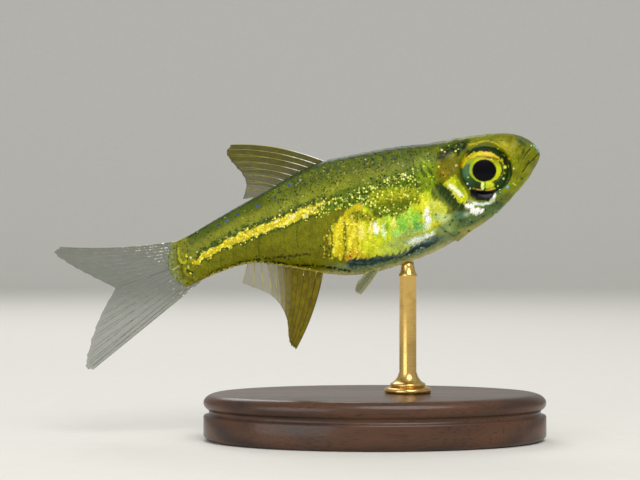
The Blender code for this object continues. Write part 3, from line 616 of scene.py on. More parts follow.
def paint_belly(fish):
    back, up = fish.back, fish.up
    column = back + 0.31 * (up + 1.1)
    shift = fish.uneven(0.035, 0.3, 21)
    spikes = 0.065 * ripple(column * 3.2, up * 0.6, 0.5, 23)
    belly = inside(back + shift, up + shift + spikes, BELLY, 0.05)
    stripes = ripple(column * 2.4, up * 0.2, 0.45, 25)
    fish.lay(belly, YELLOW_GREEN, LEMON, glints=0.12, specks=0.03, shine=0.4)
    fish.lay(belly * ramp(column, 7.9, 8.7), (214, 216, 36), PALE_GOLD, glints=0.25)
    fish.lay(belly * ramp(column, 8.9, 9.25), GOLD, PALE_GOLD, glints=0.5, specks=0.1)
    fish.lay(belly * ramp(stripes, 0.1, 0.9) * 0.65, (248, 240, 76))
    fish.lay(belly * ramp(stripes, -0.3, -0.95) * 0.55, (150, 164, 14))
    fish.lay(belly * fish.spot((8.3, -2.0), (0.7, 0.45), 5, 0.6) * 0.7, (220, 232, 36))
    fish.lay(belly * fish.spot((7.45, -2.2), (0.6, 0.3), 5, 0.6), (178, 198, 76), specks=0.2, glints=0.25)
    fish.lay(belly * fish.spot((5.95, -0.7), (0.45, 0.35), 30, 0.7), (222, 222, 50), glints=0.05)
    fish.lay(belly * fish.spot((6.2, -0.85), (0.12, 0.3), 15, 0.7), (204, 214, 34))
    pale = belly * fish.spot((5.25, -1.05), (0.5, 0.42), 20, 0.5)
    fish.lay(pale, (204, 210, 62), WHITE, glints=0.02, specks=0)
    fish.lay(pale * ramp(ripple(column * 1.5, up * 0.7, 0.4, 28), 0.0, 0.8) * 0.5, (228, 230, 120))
    for at, size, turn, tone in BELLY_PATCHES:
        patch = spot(back + shift * 1.5, up + spikes * 0.8, at, size, turn, 0.4)
        fish.lay(belly * patch, tone, linear(tone) * 1.1, glints=0.06)
    teal = ramp(ripple(column * 2.6, up, 0.3, 27), 0.35, 0.8) * fish.spot((6.75, -1.35), (0.75, 0.5))
    fish.lay(belly * teal * 0.55, (80, 150, 60), glints=0.06)
    fish.lay(belly * fish.spot((6.6, -2.05), (0.9, 0.12), 2), (184, 206, 100))
    fish.lay(belly * fish.streak(BELLY_CREASE, 0.035), (176, 172, 44))
    fish.lay(fish.ragged(WHITE_EDGE, 0.06, 0.05), (240, 250, 248), WHITE, glints=0.3, shine=0.4)
    for line, half_width in BELLY_CUTS:
        fish.lay(streak(back + shift, up, line, half_width) * 0.85, GREEN_LINE * 1.5, glints=0.1, specks=0.6)
    edge = fish.ragged([(11.12, -1.7), (10.62, -0.45), (10.4, -0.5), (10.8, -1.9)], 0.06, 0.06)
    fish.lay(edge, (112, 108, 10), PALE_GOLD * 0.8, glints=0.5, specks=0.8)
    hollow = spot(back + 2 * shift, up + 2 * shift, (8.87, -0.38), (0.78, 0.24), 26, 0.5) * belly
    fish.lay(hollow, (142, 146, 14), PALE_GOLD * 0.8, glints=0.2, specks=0.9)
    fish.lay(hollow * fish.wave(0.15, 29, 0.2, 0.8) * 0.7, (66, 76, 8))
    arch = fish.streak([(9.62, -0.28), (9.41, -0.06), (9.03, 0.08), (8.81, 0.1), (8.66, -0.02)], 0.1, 0.6)
    fish.lay(arch, (196, 182, 24), GOLD, glints=0.2, specks=0.05)
    low = belly * fish.spot((9.7, -2.15), (0.55, 0.26), 25, 0.6)
    fish.lay(low * 0.7, AMBER, PALE_GOLD, glints=0.5, specks=0.4)
    fish.lay(fish.spot((9.98, -2.1), (0.1, 0.08)), ORANGE, ORANGE * 1.2, glints=0.3)


def paint_underside(fish):
    back, up = fish.back, fish.up
    low = up - BOTTOM(back)
    under = ramp(low, 0.7, 0.4) * ramp(back, 11.3, 10.2) * ramp(back, 3.4, 4.6)
    fish.lay(under, (124, 142, 92), PALE_BLUE, glints=0.04, specks=0.22)
    shift = fish.uneven(0.03, 0.3, 31)
    band = fish.ragged(STEEL_BAND, 0.05, 0.035, 0.3, 32)
    fish.lay(band, (46, 66, 62), PALE_BLUE, glints=0.03, specks=0.15, shine=0.4)
    # The steel band's lighter ripples and the paler top edge of its front part are painted sheen
    sheen = ramp(ripple(back * 0.5, up * 2.5, 0.3, 35), 0.1, 0.9) * band
    fish.lay(sheen * 0.7, (80, 104, 100))
    fish.lay(band * ramp(back, 7.3, 6.2) * ramp(up, -2.55, -2.38) * 0.8, (116, 142, 130))
    fish.lay(band * ramp(back, 6.2, 5.4) * 0.6, (96, 114, 84))
    fish.lay(fish.streak([(10.69, -2.72), (10.1, -2.9), (9.58, -3.0)], 0.06, 0.6), (206, 200, 140))
    fish.lay(ramp(low, 0.26, 0.05) * ramp(back, 11.6, 10.6), (196, 190, 122), specks=0.05, glints=0.05)
    rear = ramp(back, 10.6, 11.4) * ramp(back, 16.9, 16.3)
    fish.lay(ramp(low, 0.13, 0.06) * rear, (196, 186, 80), glints=0.3)
    for line, strength in ((FLANK_LOWER_LINE, 0.8), (FIN_BASE_LINE, 1.0)):
        signed, share = line_distance(back + shift, up + shift, line)
        dots = 0.5 + 0.5 * np.sin(share * 105 + 3 * ripple(back, up, 0.5, 33))
        fish.lay(ramp(np.abs(signed), 0.075, 0.035) * ramp(dots, 0.1, 0.35) * strength, DARK * 0.5, glints=0)
        fish.lay(ramp(np.abs(signed), 0.22, 0.08), specks=0.55)


def paint_head(fish):
    """The head's ground tones, then its nape, snout, gill cover, eye socket and small marks."""
    back, up = fish.back, fish.up
    shift = fish.uneven(0.04, 0.3, 37)
    blend = 0.06 + 0.4 * ramp(up, 0.3, 1.2)
    head = ramp(line_distance(back + shift, up + shift, HEAD_REAR)[0] / blend, 1.0, -1.0) * (back < 6.2)
    fish.lay(head, (108, 112, 6), YELLOW_GREEN, glints=0.003, specks=0.05, shine=0.2)
    fish.lay(head * fish.wave(0.45, 39, 0.1, 0.9) * 0.45, (130, 134, 14))
    fish.lay(head * fish.wave(0.45, 39, -0.2, -0.9) * 0.4, (86, 94, 8))
    fish.lay_spots(FACE_SPOTS)
    fish.lay(ramp(back, 0.85, 0.35), (110, 116, 6))
    fish.lay(ramp(up - 0.12 * back, -0.75, -1.15) * ramp(back, 4.2, 3.0), (132, 140, 12))
    lower = ramp(up + 0.38 * back, -0.1, -0.62) * ramp(back, 6.0, 5.0) * ramp(back, 1.9, 2.9)
    fish.lay(lower * head, (92, 118, 62), PALE_BLUE, glints=0.02, specks=0.08)
    fish.lay(ramp(up - BOTTOM(back), 0.3, 0.08) * ramp(back, 5.8, 4.8) * ramp(back, 2.6, 3.8), (152, 150, 68))
    fish.lay_spots(CHEEK_SPOTS)
    paint_nape_and_snout(fish)
    paint_gill_cover(fish, shift)
    paint_socket(fish, shift)
    paint_head_marks(fish, shift)


def paint_nape_and_snout(fish):
    back, up = fish.back, fish.up
    nape = fish.ragged(NAPE_DARK, 0.12, 0.08, 0.4, 41)
    fish.lay(nape, colour(38, 54, 10) * 0.35, YELLOW_GREEN * 0.8, glints=0.03, specks=0.9)
    fish.lay(nape * ramp(up, 1.42, 1.62) * 0.6, (94, 106, 26))
    fish.lay(nape * fish.wave(0.22, 43, 0.3, 1.0) * 0.5, (80, 108, 24))
    fish.lay(fish.ragged(BEHIND_EYE, 0.2, 0.05) * 0.85, (112, 104, 10), AMBER, glints=0.01, specks=0.3)
    # Along the crown's top edge: a painted highlight
    fish.lay(ramp(up - TOP(back), -0.14, -0.03) * ramp(back, 4.4, 3.0) * ramp(back, 0.9, 1.5), (114, 120, 30))
    fish.lay(fish.streak([(0.8, 1.0), (0.5, 0.78), (0.3, 0.55)], 0.09, 0.9) * 0.7, (76, 92, 66))
    fish.lay(fish.spot((0.68, 0.66), (0.09, 0.26), -35, 0.8), (60, 74, 34))
    # Blue-white edge of the upper lip at the snout tip: a painted highlight
    fish.lay(fish.streak([(0.14, 0.38), (0.05, 0.2), (0.03, 0.0)], 0.035, 0.8), (124, 158, 152))


def paint_gill_cover(fish, shift):
    back, up = fish.back, fish.up
    dark = fish.ragged(OPERCLE_DARK, 0.12, 0.04, 0.3, 45)
    fish.lay(dark, (38, 56, 18), specks=0.1, glints=0.0)
    rim = fish.streak([(5.22, -0.2), (5.16, -0.55), (4.96, -0.88), (4.78, -1.28)], 0.09, 0.9)
    fish.lay(rim * 0.7, (122, 136, 46), glints=0.02)
    rays = ramp(ripple((back + 0.5 * up) * 1.9, (up - 0.5 * back) * 0.5, 0.5, 46), 0.1, 0.9)
    fish.lay(rays * dark * 0.3, (96, 112, 44))
    patch = fish.ragged(CHEEK_PATCH, 0.035, 0.035, 0.16, 47)
    fish.lay(patch, (198, 204, 22), LEMON, glints=0.35, specks=0, shine=0.6)
    fish.lay(patch * fish.spot((4.03, -0.4), (0.11, 0.5), -8, 0.7) * 0.85, (130, 154, 22))
    gilt = fish.streak([(4.68, -0.13), (4.47, -0.6), (4.3, -0.98)], 0.05, 0.9)
    fish.lay(patch * gilt * 0.6, (210, 196, 50), GOLD)
    line = [(4.46, -0.27), (4.29, -0.5), (4.1, -0.86)]
    core = streak(back + shift * 0.6, up + shift * 0.6, line, 0.085, 0.7)
    fish.lay(core * patch, (244, 252, 204), WHITE, glints=0.15)


def paint_socket(fish, shift):
    """What rings the eye, with the silver crescent and the white patch under it."""
    back, up = fish.back, fish.up
    away = np.hypot(back - PUPIL_BACK, up - PUPIL_UP)
    front = ramp(back + 0.35 * up, 2.3, 1.9)
    fish.lay(ramp(away, 1.2, 1.1), (54, 70, 24), glints=0, specks=0)
    fish.lay(fish.streak([(3.68, 0.4), (3.55, 0.68), (3.3, 0.88), (3.0, 0.94)], 0.05, 0.6), (150, 140, 22))
    fish.lay(ramp(away + shift, 1.32, 1.14) * front, (46, 74, 22), glints=0.05, specks=0.1)
    # A dark line round the socket: painted shadow of its rim
    shadow = streak(back + shift * 0.6, up + shift * 0.6, ORBIT_SHADOW, 0.045, 0.8)
    fish.lay(shadow, ORBIT_SHADOW_TONE, glints=0, specks=0)
    fish.lay_strokes(BROW_STROKES)
    fish.lay(fish.ragged(UNDER_EYE, 0.05, 0.02, 0.2, 51), (18, 22, 22), glints=0, specks=0)
    fish.lay(fish.streak([(3.3, -1.12), (3.1, -1.18), (2.8, -1.22)], 0.05, 0.9) * 0.4, (70, 68, 76))
    crescent = streak(back + shift * 0.7, up + shift * 0.7, SILVER_CRESCENT, 0.07, 0.35)
    fish.lay(crescent, (232, 252, 242), WHITE, glints=0.1, specks=0, shine=0.5)
    fish.lay(crescent * ramp(back, 3.0, 2.85) * 0.8, (216, 208, 140))
    fish.lay(crescent * ramp(back, 3.6, 3.75), (150, 160, 70))
    chip = fish.ragged([(2.66, -1.5), (2.5, -1.3), (2.56, -1.24), (2.72, -1.36)], 0.03, 0.03, 0.15)
    fish.lay(chip, WHITE, WHITE, shine=0.8)
    white = fish.ragged(WHITE_PATCH, 0.03, 0.03, 0.16, 53)
    fish.lay(white, WHITE * 1.1, WHITE, glints=0, specks=0, shine=0.3)


def paint_head_marks(fish, shift):
    back, up = fish.back, fish.up
    # The blue marks at the snout tip are a painted highlight of the upper lip
    for at, size, tone in HEAD_LIGHTS:
        fish.lay(fish.spot(at, (size, size * 0.8), 30), tone, tone, glints=0, specks=0, shine=0.4)
    fish.lay(fish.spot((5.42, -1.47), (0.26, 0.16), -10, 0.8) * 0.7, (180, 206, 132), glints=0)
    blob = spot(back + shift, up + shift, (5.58, -1.76), (0.21, 0.13), -12, 0.35)
    fish.lay(blob, (214, 212, 44), GOLD, glints=0.1)
    fish.lay(fish.streak([(5.75, -1.88), (5.55, -1.9), (5.38, -1.82)], 0.03, 0.8) * 0.8, (140, 138, 30))
    for at in HEAD_DOTS:
        fish.lay(fish.spot(at, (0.055, 0.04)), DARK, specks=0, glints=0)
    # Painted shade in the snout's grooves and the mouth cleft
    for line, half_width, strength in HEAD_LINES:
        fish.lay(fish.streak(line, half_width, 0.6) * strength, (44, 58, 14))
    fish.lay(fish.streak([(1.62, -1.02), (1.5, -1.17)], 0.018), LEMON)
    # The mouth cleft darkened: painted shade
    cleft = np.abs(up - MOUTH_HEIGHT(back))
    fish.lay(ramp(cleft, 0.035, 0.012) * ramp(back, 1.1, 0.95) * 0.7, (50, 58, 14), glints=0)


def paint_tail_root(fish):
    back, up = fish.back, fish.up
    shift = fish.uneven(0.05, 0.3, 55)
    root = ramp(back + shift, 16.7, 17.2)
    fish.lay(root, (114, 114, 16), specks=0.15, glints=0.02)
    fish.lay(root * fish.wave(0.28, 57, 0.2, 0.9) * 0.6, (140, 140, 34))
    fish.lay(root * fish.wave(0.28, 57, -0.2, -0.9) * 0.6, (92, 98, 22))
    grey = ramp(back + 0.18 * ripple(back * 0.3, up * 2.6, 0.5, 59), 17.6, 18.0)
    fish.lay(grey * 0.9, (106, 114, 66))
    fish.lay(grey * fish.wave(0.2, 60, 0.2, 0.8) * 0.6, (150, 158, 108))
    for line, half_width, tone in TAIL_ROOT_LINES:
        fish.lay(streak(back + 0.5 * shift, up, line, half_width, 0.7) * 0.9, tone, glints=0)


def painted(back, up, left):
    """The paint at places on the fish."""
    fish = Paint(*(np.ravel(part) for part in in_picture(back, up, left)))
    paint_back_and_flank(fish)
    paint_stripe(fish)
    paint_underside(fish)
    paint_belly(fish)
    paint_head(fish)
    paint_tail_root(fish)
    return fish


# Meshes

def link(thing):
    bpy.context.scene.collection.objects.link(thing)
    return thing


def mesh_piece(name, points, faces, material):
    """A smoothly shaded object from points in metres and faces."""
    mesh = bpy.data.meshes.new(name)
    mesh.from_pydata(np.reshape(points, (-1, 3)).tolist(), [], faces)
    mesh.shade_smooth()
    mesh.materials.append(material)
    return link(bpy.data.objects.new(name, mesh))


def solid_piece(name, points, faces, material):
    """A mesh piece with all its faces turned outwards."""
    piece = mesh_piece(name, points, faces, material)
    bm = bmesh.new()
    bm.from_mesh(piece.data)
    bm.transform(Matrix.Scale(1 / MM, 4))
    bmesh.ops.recalc_face_normals(bm, faces=bm.faces)
    bm.transform(Matrix.Scale(MM, 4))
    bm.to_mesh(piece.data)
    bm.free()
    return piece


def grid_faces(rows, columns, wrap=False, start=0, flip=False):
    """Quads over a grid of points in rows, joined from last column to first where it wraps."""
    row, column = np.meshgrid(np.arange(rows - 1), np.arange(columns if wrap else columns - 1), indexing="ij")
    after = (column + 1) % columns
    corners = [row * columns + column, row * columns + after, (row + 1) * columns + after]
    corners.append((row + 1) * columns + column)
    quads = np.stack(corners, -1).reshape(-1, 4) + start
    return (quads[:, ::-1] if flip else quads).tolist()


def tube_faces(rings, sides):
    """Quads round a tube of points in rings, with a flat face at each end."""
    last = (rings - 1) * sides
    ends = [list(range(sides))[::-1], list(range(last, last + sides))]
    return grid_faces(rings, sides, wrap=True) + ends


def grid_rim(rows, columns):
    """The numbers of a grid's outer points, in order round it."""
    grid = np.arange(rows * columns).reshape(rows, columns)
    return np.concatenate([grid[:-1, 0], grid[-1, :-1], grid[:0:-1, -1], grid[0, :0:-1]]).tolist()


def full_turn(count):
    """Angles at even steps of a full turn."""
    return np.arange(count) * 2 * math.pi / count


def sharpen(piece, marked):
    """Makes the edges between marked points sharp."""
    ends = np.empty(2 * len(piece.data.edges), np.int32)
    piece.data.edges.foreach_get("vertices", ends)
    ends = ends.reshape(-1, 2)
    layer = piece.data.attributes.new("sharp_edge", "BOOLEAN", "EDGE")
    layer.data.foreach_set("value", marked[ends[:, 0]] & marked[ends[:, 1]])


def give_paint(piece, fish):
    """The paint as attributes of the piece's points, read by its material."""
    for name in ("tone", "grain"):
        values = np.asarray(getattr(fish, name), np.float32)
        layer = piece.data.attributes.new(name, "FLOAT_COLOR", "POINT")
        opaque = np.ones((len(values), 1), np.float32)
        layer.data.foreach_set("color", np.hstack([values, opaque]).ravel())
    for name in ("glints", "specks", "shine"):
        layer = piece.data.attributes.new(name, "FLOAT", "POINT")
        layer.data.foreach_set("value", np.asarray(getattr(fish, name), np.float32))


def give_map(piece, places):
    """The piece's bake map, from a place on it for each point."""
    corners = np.empty(len(piece.data.loops), np.int32)
    piece.data.loops.foreach_get("vertex_index", corners)
    layer = piece.data.uv_layers.new(name="OFBake")
    layer.data.foreach_set("uv", np.asarray(places, np.float32)[corners].ravel())


# Materials

def rgba(tone):
    return (*(float(part) for part in tone), 1.0)


class Look:
    """A Principled material, with short ways to make and join its nodes."""

    def __init__(self, name, sockets):
        self.material = bpy.data.materials.new(name)
        self.material.use_nodes = True
        self.tree = self.material.node_tree
        self.shader = self.tree.nodes["Principled BSDF"]
        for socket, value in sockets.items():
            self.shader.inputs[socket].default_value = value

    def put(self, socket, value):
        if isinstance(value, bpy.types.NodeSocket):
            self.tree.links.new(value, socket)
        else:
            socket.default_value = value

    def node(self, kind, inputs, **settings):
        made = self.tree.nodes.new("ShaderNode" + kind)
        for name, value in settings.items():
            setattr(made, name, value)
        for socket, value in inputs.items():
            self.put(made.inputs[socket], value)
        return made

    def math(self, operation, first, second=0.0):
        return self.node("Math", {0: first, 1: second}, operation=operation).outputs[0]

    def mix(self, share, first, second, blend="MIX"):
        inputs = {0: share, 6: first, 7: second}
        return self.node("Mix", inputs, data_type="RGBA", blend_type=blend).outputs[2]

    def remap(self, value, low, high, to_low=0.0, to_high=1.0):
        inputs = {0: value, 1: low, 2: high, 3: to_low, 4: to_high}
        return self.node("MapRange", inputs).outputs[0]

    def attribute(self, name, output="Fac"):
        return self.node("Attribute", {}, attribute_name=name).outputs[output]

    def place(self):
        return self.node("TexCoord", {}).outputs["Object"]

    def stretched(self, place, *scale):
        return self.node("Mapping", {"Vector": place, "Scale": scale}).outputs[0]

    def noise(self, place, scale, detail=2.0):
        return self.node("TexNoise", {"Vector": place, "Scale": scale, "Detail": detail}).outputs["Fac"]

    def cells(self, place, scale):
        """Distance from the middle of a cell about 1 / scale across, and three random numbers of it."""
        warp = self.node("TexNoise", {"Vector": place, "Scale": scale * 1.7, "Detail": 1.0}).outputs["Color"]
        warp = self.node("VectorMath", {0: warp, 3: 0.6 / scale}, operation="SCALE").outputs[0]
        place = self.node("VectorMath", {0: place, 1: warp}, operation="ADD").outputs[0]
        made = self.node("TexVoronoi", {"Vector": place, "Scale": scale})
        parts = self.node("SeparateColor", {"Color": made.outputs["Color"]}).outputs
        return made.outputs["Distance"], parts[0], parts[1], parts[2]

    def bump(self, height, depth, strength=1.0):
        inputs = {"Height": height, "Distance": depth, "Strength": strength}
        self.put(self.shader.inputs["Normal"], self.node("Bump", inputs).outputs["Normal"])

    def set(self, **links):
        for name, value in links.items():
            self.put(self.shader.inputs[name.replace("_", " ").title()], value)


# How many shining grains and dark specks there are to the metre
GRAINS = 9300
SPECKS = 8000


def painted_look(name, sockets, unevenness=1.0, roughness=0.34, bump_depth=0.000007):
    """Tone from the paint, with shining grains, dark specks, fine stipple and soft mottling."""
    look = Look(name, sockets)
    place = look.place()
    wide, fine = 0.16 * unevenness, 0.26 * unevenness
    mottle = look.remap(look.noise(place, 2300), 0.32, 0.68, 1 - wide, 1 + wide)
    stipple = look.remap(look.noise(place, 17000, 3.0), 0.3, 0.7, 1 - fine, 1 + fine)
    tone = look.mix(1.0, look.attribute("tone", "Color"), look.math("MULTIPLY", mottle, stipple), "MULTIPLY")
    away, pick, _, pale = look.cells(place, SPECKS)
    reach = look.remap(pale, 0.0, 1.0, 0.22, 0.42)
    dark = look.math("MULTIPLY", look.math("LESS_THAN", pick, look.attribute("specks")), 0.85)
    dark = look.math("MULTIPLY", dark, look.remap(look.math("SUBTRACT", away, reach), 0.0, -0.06))
    tone = look.mix(dark, tone, rgba(DARK))
    away, pick, bright, pale = look.cells(place, GRAINS)
    lit = look.math("LESS_THAN", pick, look.attribute("glints"))
    lit = look.math("MULTIPLY", lit, look.remap(away, 0.56, 0.42))
    grain = look.mix(look.remap(pale, 0.8, 1.0, 0.0, 0.25), look.attribute("grain", "Color"), rgba(WHITE))
    grain = look.mix(1.0, grain, look.remap(bright, 0.0, 1.0, 0.48, 1.12), "MULTIPLY")
    grain = look.mix(look.remap(pale, 0.2, 0.0, 0.0, 0.55), grain, (0.95, 0.84, 0.4, 1.0), "MULTIPLY")
    shine = look.attribute("shine")
    rough = look.math("SUBTRACT", roughness, look.math("MULTIPLY", shine, 0.1))
    rough = look.math("ADD", rough, look.remap(stipple, 0.8, 1.2, -0.05, 0.05))
    metal = look.math("MULTIPLY", look.math("ADD", look.math("MULTIPLY", lit, 0.5), shine), 0.2)
    look.set(base_color=look.mix(lit, tone, grain), roughness=rough, metallic=metal)
    look.bump(look.math("ADD", look.math("MULTIPLY", lit, 0.7), stipple), bump_depth)
    return look.material


SKIN_SOCKETS = {"Coat Weight": 0.07, "Coat Roughness": 0.16, "IOR": 1.36, "Specular IOR Level": 0.16}
EYE_SOCKETS = {"Coat Weight": 0.1, "Coat Roughness": 0.03, "IOR": 1.36, "Specular IOR Level": 0.1}
SKIN_LOOK = painted_look("wet_skin", SKIN_SOCKETS)
EYE_LOOK = painted_look("glossy_eye", EYE_SOCKETS, 0.5, 0.3, 0.000004)
RAY_SOCKETS = {"Coat Weight": 0.1, "Coat Roughness": 0.2, "IOR": 1.4, "Specular IOR Level": 0.25}
RAY_LOOK = painted_look("fin_rays", RAY_SOCKETS, 0.7, 0.36)
FAINT_RAY_LOOK = painted_look("faint_fin_rays", {**RAY_SOCKETS, "Alpha": 0.25}, 0.7, 0.36)


def membrane_look(name, tone, alpha):
    """A clear film with pigment in fine clouds and dots."""
    sockets = {"IOR": 1.36, "Coat Weight": 0.05, "Coat Roughness": 0.2, "Specular IOR Level": 0.2}
    look = Look(name, {"Alpha": alpha, **sockets})
    place = look.place()
    cloud = look.remap(look.noise(place, 3500, 4.0), 0.3, 0.7, 0.72, 1.25)
    away, pick, _, _ = look.cells(place, 5200)
    dots = look.math("MULTIPLY", look.math("LESS_THAN", pick, 0.3), look.remap(away, 0.3, 0.16))
    colours = look.mix(1.0, rgba(tone), cloud, "MULTIPLY")
    colours = look.mix(look.math("MULTIPLY", dots, 0.7), colours, rgba(tone * 0.3))
    look.set(base_color=colours, roughness=look.remap(cloud, 0.7, 1.25, 0.22, 0.36))
    look.bump(cloud, 0.000006)
    return look.material


def wood_look():
    sockets = {"Coat Weight": 0.3, "Coat Roughness": 0.14, "IOR": 1.5, "Specular IOR Level": 0.3}
    look = Look("dark_wood", sockets)
    place = look.place()
    along = look.stretched(place, 0.16, 1.0, 1.0)
    warp = look.noise(along, 700, 3.0)
    heart = look.node("Mapping", {"Vector": along, "Location": (0.0, 0.0, 0.004)}).outputs[0]
    inputs = {"Vector": heart, "Scale": 260.0, "Distortion": 5.0, "Detail": 3.0, "Detail Scale": 1.6}
    rings = look.node("TexWave", inputs, wave_type="RINGS", rings_direction="X").outputs["Fac"]
    pores = look.remap(look.noise(look.stretched(place, 0.06, 1.0, 1.0), 14000), 0.55, 0.68)
    tone = look.mix(rings, rgba(colour(74, 44, 26)), rgba(colour(42, 24, 15)))
    tone = look.mix(look.remap(warp, 0.35, 0.7, 0.0, 0.5), tone, rgba(colour(96, 60, 34)))
    tone = look.mix(look.math("MULTIPLY", pores, 0.6), tone, rgba(colour(22, 13, 9)))
    look.set(base_color=tone, roughness=look.remap(warp, 0.3, 0.7, 0.3, 0.42))
    look.bump(look.math("SUBTRACT", look.math("MULTIPLY", rings, 0.3), pores), 0.000003)
    return look.material


def brass_look():
    look = Look("brushed_brass", {"Metallic": 1.0, "IOR": 1.5})
    place = look.place()
    lathed = look.noise(look.stretched(place, 0.05, 0.05, 1.0), 30000)
    tarnish = look.noise(place, 1600, 4.0)
    dull = look.remap(tarnish, 0.45, 0.75, 0.0, 0.5)
    tone = look.mix(dull, rgba(colour(214, 178, 104)), rgba(colour(150, 112, 58)))
    rough = look.remap(lathed, 0.3, 0.7, 0.16, 0.26)
    rough = look.math("ADD", rough, look.remap(tarnish, 0.4, 0.8, 0.0, 0.12))
    look.set(base_color=tone, roughness=rough)
    look.bump(lathed, 0.000004)
    return look.material


def paper_look(name, tone):
    look = Look(name, {"Roughness": 0.85, "Specular IOR Level": 0.1})
    grain = look.remap(look.noise(look.place(), 900, 5.0), 0.3, 0.7, 0.985, 1.01)
    look.set(base_color=look.mix(1.0, rgba(tone), grain, "MULTIPLY"))
    return look.material


# The skin

def body_point(back, turn):
    """(back, up, left) of the skin before its fine relief, with the eye sockets sunk in."""
    rounding = 0.55 * np.sin(turn) ** 2 * ramp(back, 16.4, 18.2)
    back = back - rounding
    up, left = section(back, turn)
    away = np.hypot(back - EYE_BACK, up - EYE_UP)
    floor = EYE_SIDEWAYS - 0.06 + (back - EYE_BACK) * math.tan(EYE_TURNED_FORWARD)
    floor = floor + 0.19 * ramp(away, 0.98, 1.1)
    sunk = ramp(away, 1.35, 1.1)
    width = np.abs(left)
    left = np.sign(left) * (width + (np.minimum(width, floor) - width) * sunk)
    return back, up, left


def skin_frame(back, turn):
    """Points in metres and outward directions of the skin before its fine relief."""
    step = 1e-3
    here = place(*body_point(back, turn))
    along = place(*body_point(back + step, turn)) - place(*body_point(back - step, turn))
    round_ = place(*body_point(back, turn + step)) - place(*body_point(back, turn - step))
    normal = np.cross(along, round_)
    return here, normal / np.maximum(np.linalg.norm(normal, axis=-1, keepdims=True), 1e-30)


def relief(back, up, left):
    """How far the skin stands out from its plain form, in millimetres."""
    away = np.hypot(back - EYE_BACK, up - EYE_UP)
    back, up = in_picture(back, up, left)
    height = 0.03 * bump(away, 1.33, 0.07) + 0.015 * bump(away, 1.5, 0.12) * (up < 0.3)
    before_corner = ramp(back, 1.12, 0.98)
    gape = up - MOUTH_HEIGHT(back)
    height -= 0.08 * bump(gape, 0, 0.03) * before_corner * ramp(back, 0.0, 0.12)
    lips = bump(gape, 0.1, 0.06) + bump(gape, -0.11, 0.07)
    height += 0.03 * lips * before_corner * ramp(back, 0.12, 0.4)
    for line, depth, half_width in HEAD_FOLDS:
        height -= depth * bump(line_distance(back, up, line)[0], 0, half_width)
    front_nostril = np.hypot(back - 0.78, up - 0.48)
    rear_nostril = np.hypot(back - 0.93, (up - 0.37) * 0.8)
    for nostril, rim, depth in ((front_nostril, 0.03, 0.09), (rear_nostril, 0.018, 0.07)):
        height += rim * bump(nostril, 0.13, 0.045) - depth * bump(nostril, 0, 0.07)
    edge, _ = line_distance(back, up, GILL_OPENING)
    near = (back < 6.3) * ramp(up, 1.7, 1.2)
    cover = ramp(edge, -0.75, -0.05) * ramp(edge, 0.02, -0.03)
    height += near * (0.1 * cover - 0.03 * bump(edge, 0.06, 0.05))
    height += 0.05 * spot(back, up, (6.1, -1.95), (0.35, 0.6), 0, 0.9)
    height += 0.008 * ripple(back, up, 0.5, 61) * ramp(back, 6.0, 4.5) * ramp(away, 1.1, 1.4)
    for pore_back, pore_up in PORES:
        height -= 0.022 * bump(np.hypot(back - pore_back, up - pore_up), 0, 0.03)
    return height


def make_skin():
    head = HEAD_LENGTH * np.linspace(0.012, 1, HEAD_STATIONS) ** 1.5
    trunk = np.linspace(HEAD_LENGTH, SKIN_END, TRUNK_STATIONS + 1)[1:]
    stations = np.concatenate([head, trunk])
    back, turn = np.meshgrid(stations, full_turn(SKIN_RING), indexing="ij")
    points, normals = skin_frame(back, turn)
    spots = body_point(back, turn)
    points = points + normals * relief(*spots)[..., None] * MM
    skin = mesh_piece("skin", points, tube_faces(len(stations), SKIN_RING), SKIN_LOOK)
    give_paint(skin, painted(*spots))
    along = 0.02 + 0.96 * back / SKIN_END
    around = 0.02 + 0.96 * np.broadcast_to(np.arange(SKIN_RING) / SKIN_RING, back.shape)
    give_map(skin, np.stack([along, around], -1).reshape(-1, 2))
    return skin


# The scales

SCALE_GRID = 17
SCALE_LIFT = (-0.014, 0.02)
SCALE_THICKNESS = 0.03
SCALE_ROWS = 8
ROW_HEIGHT = 0.66
COLUMN_SPACING = 0.27
COLUMNS = (4.35, 17.75)
OVER_RIDGE = 0.5


def lie_of_rows():
    """For distances back, the turn of the section at arc lengths up from the stripe, as a table."""
    backs = np.linspace(4.0, 18.1, 200)
    turns = np.linspace(-math.pi / 2 - OVER_RIDGE, math.pi / 2 + OVER_RIDGE, 500)
    side = np.abs(turns) < math.pi / 2
    arcs = np.linspace(-4.8, 3.8, 500)
    table = []
    for back in backs:
        up, left = section(back, turns)
        arc = np.concatenate([[0], np.cumsum(np.hypot(np.diff(up), np.diff(left)))])
        arc -= np.interp(STRIPE(back), up[side], arc[side])
        table.append(np.interp(arcs, arc, turns))
    return backs, arcs, np.array(table)


ROW_BACKS, ROW_ARCS, ROW_TURNS = lie_of_rows()


def turn_on_row(back, arc):
    """The section's turn at a distance back and an arc length up from the stripe, past the ridge too."""
    x = np.clip((back - ROW_BACKS[0]) / (ROW_BACKS[1] - ROW_BACKS[0]), 0, len(ROW_BACKS) - 1.001)
    y = np.clip((arc - ROW_ARCS[0]) / (ROW_ARCS[1] - ROW_ARCS[0]), 0, len(ROW_ARCS) - 1.001)
    i, j = x.astype(int), y.astype(int)
    fx, fy = x - i, y - j
    low = ROW_TURNS[i, j] * (1 - fy) + ROW_TURNS[i, j + 1] * fy
    high = ROW_TURNS[i + 1, j] * (1 - fy) + ROW_TURNS[i + 1, j + 1] * fy
    return low * (1 - fx) + high * fx


def crowding(back):
    """Scales are smaller towards the tail and the nape."""
    return (1 - 0.42 * ramp(back, 9.0, 16.5)) * (0.8 + 0.2 * ramp(back, 4.6, 6.5))


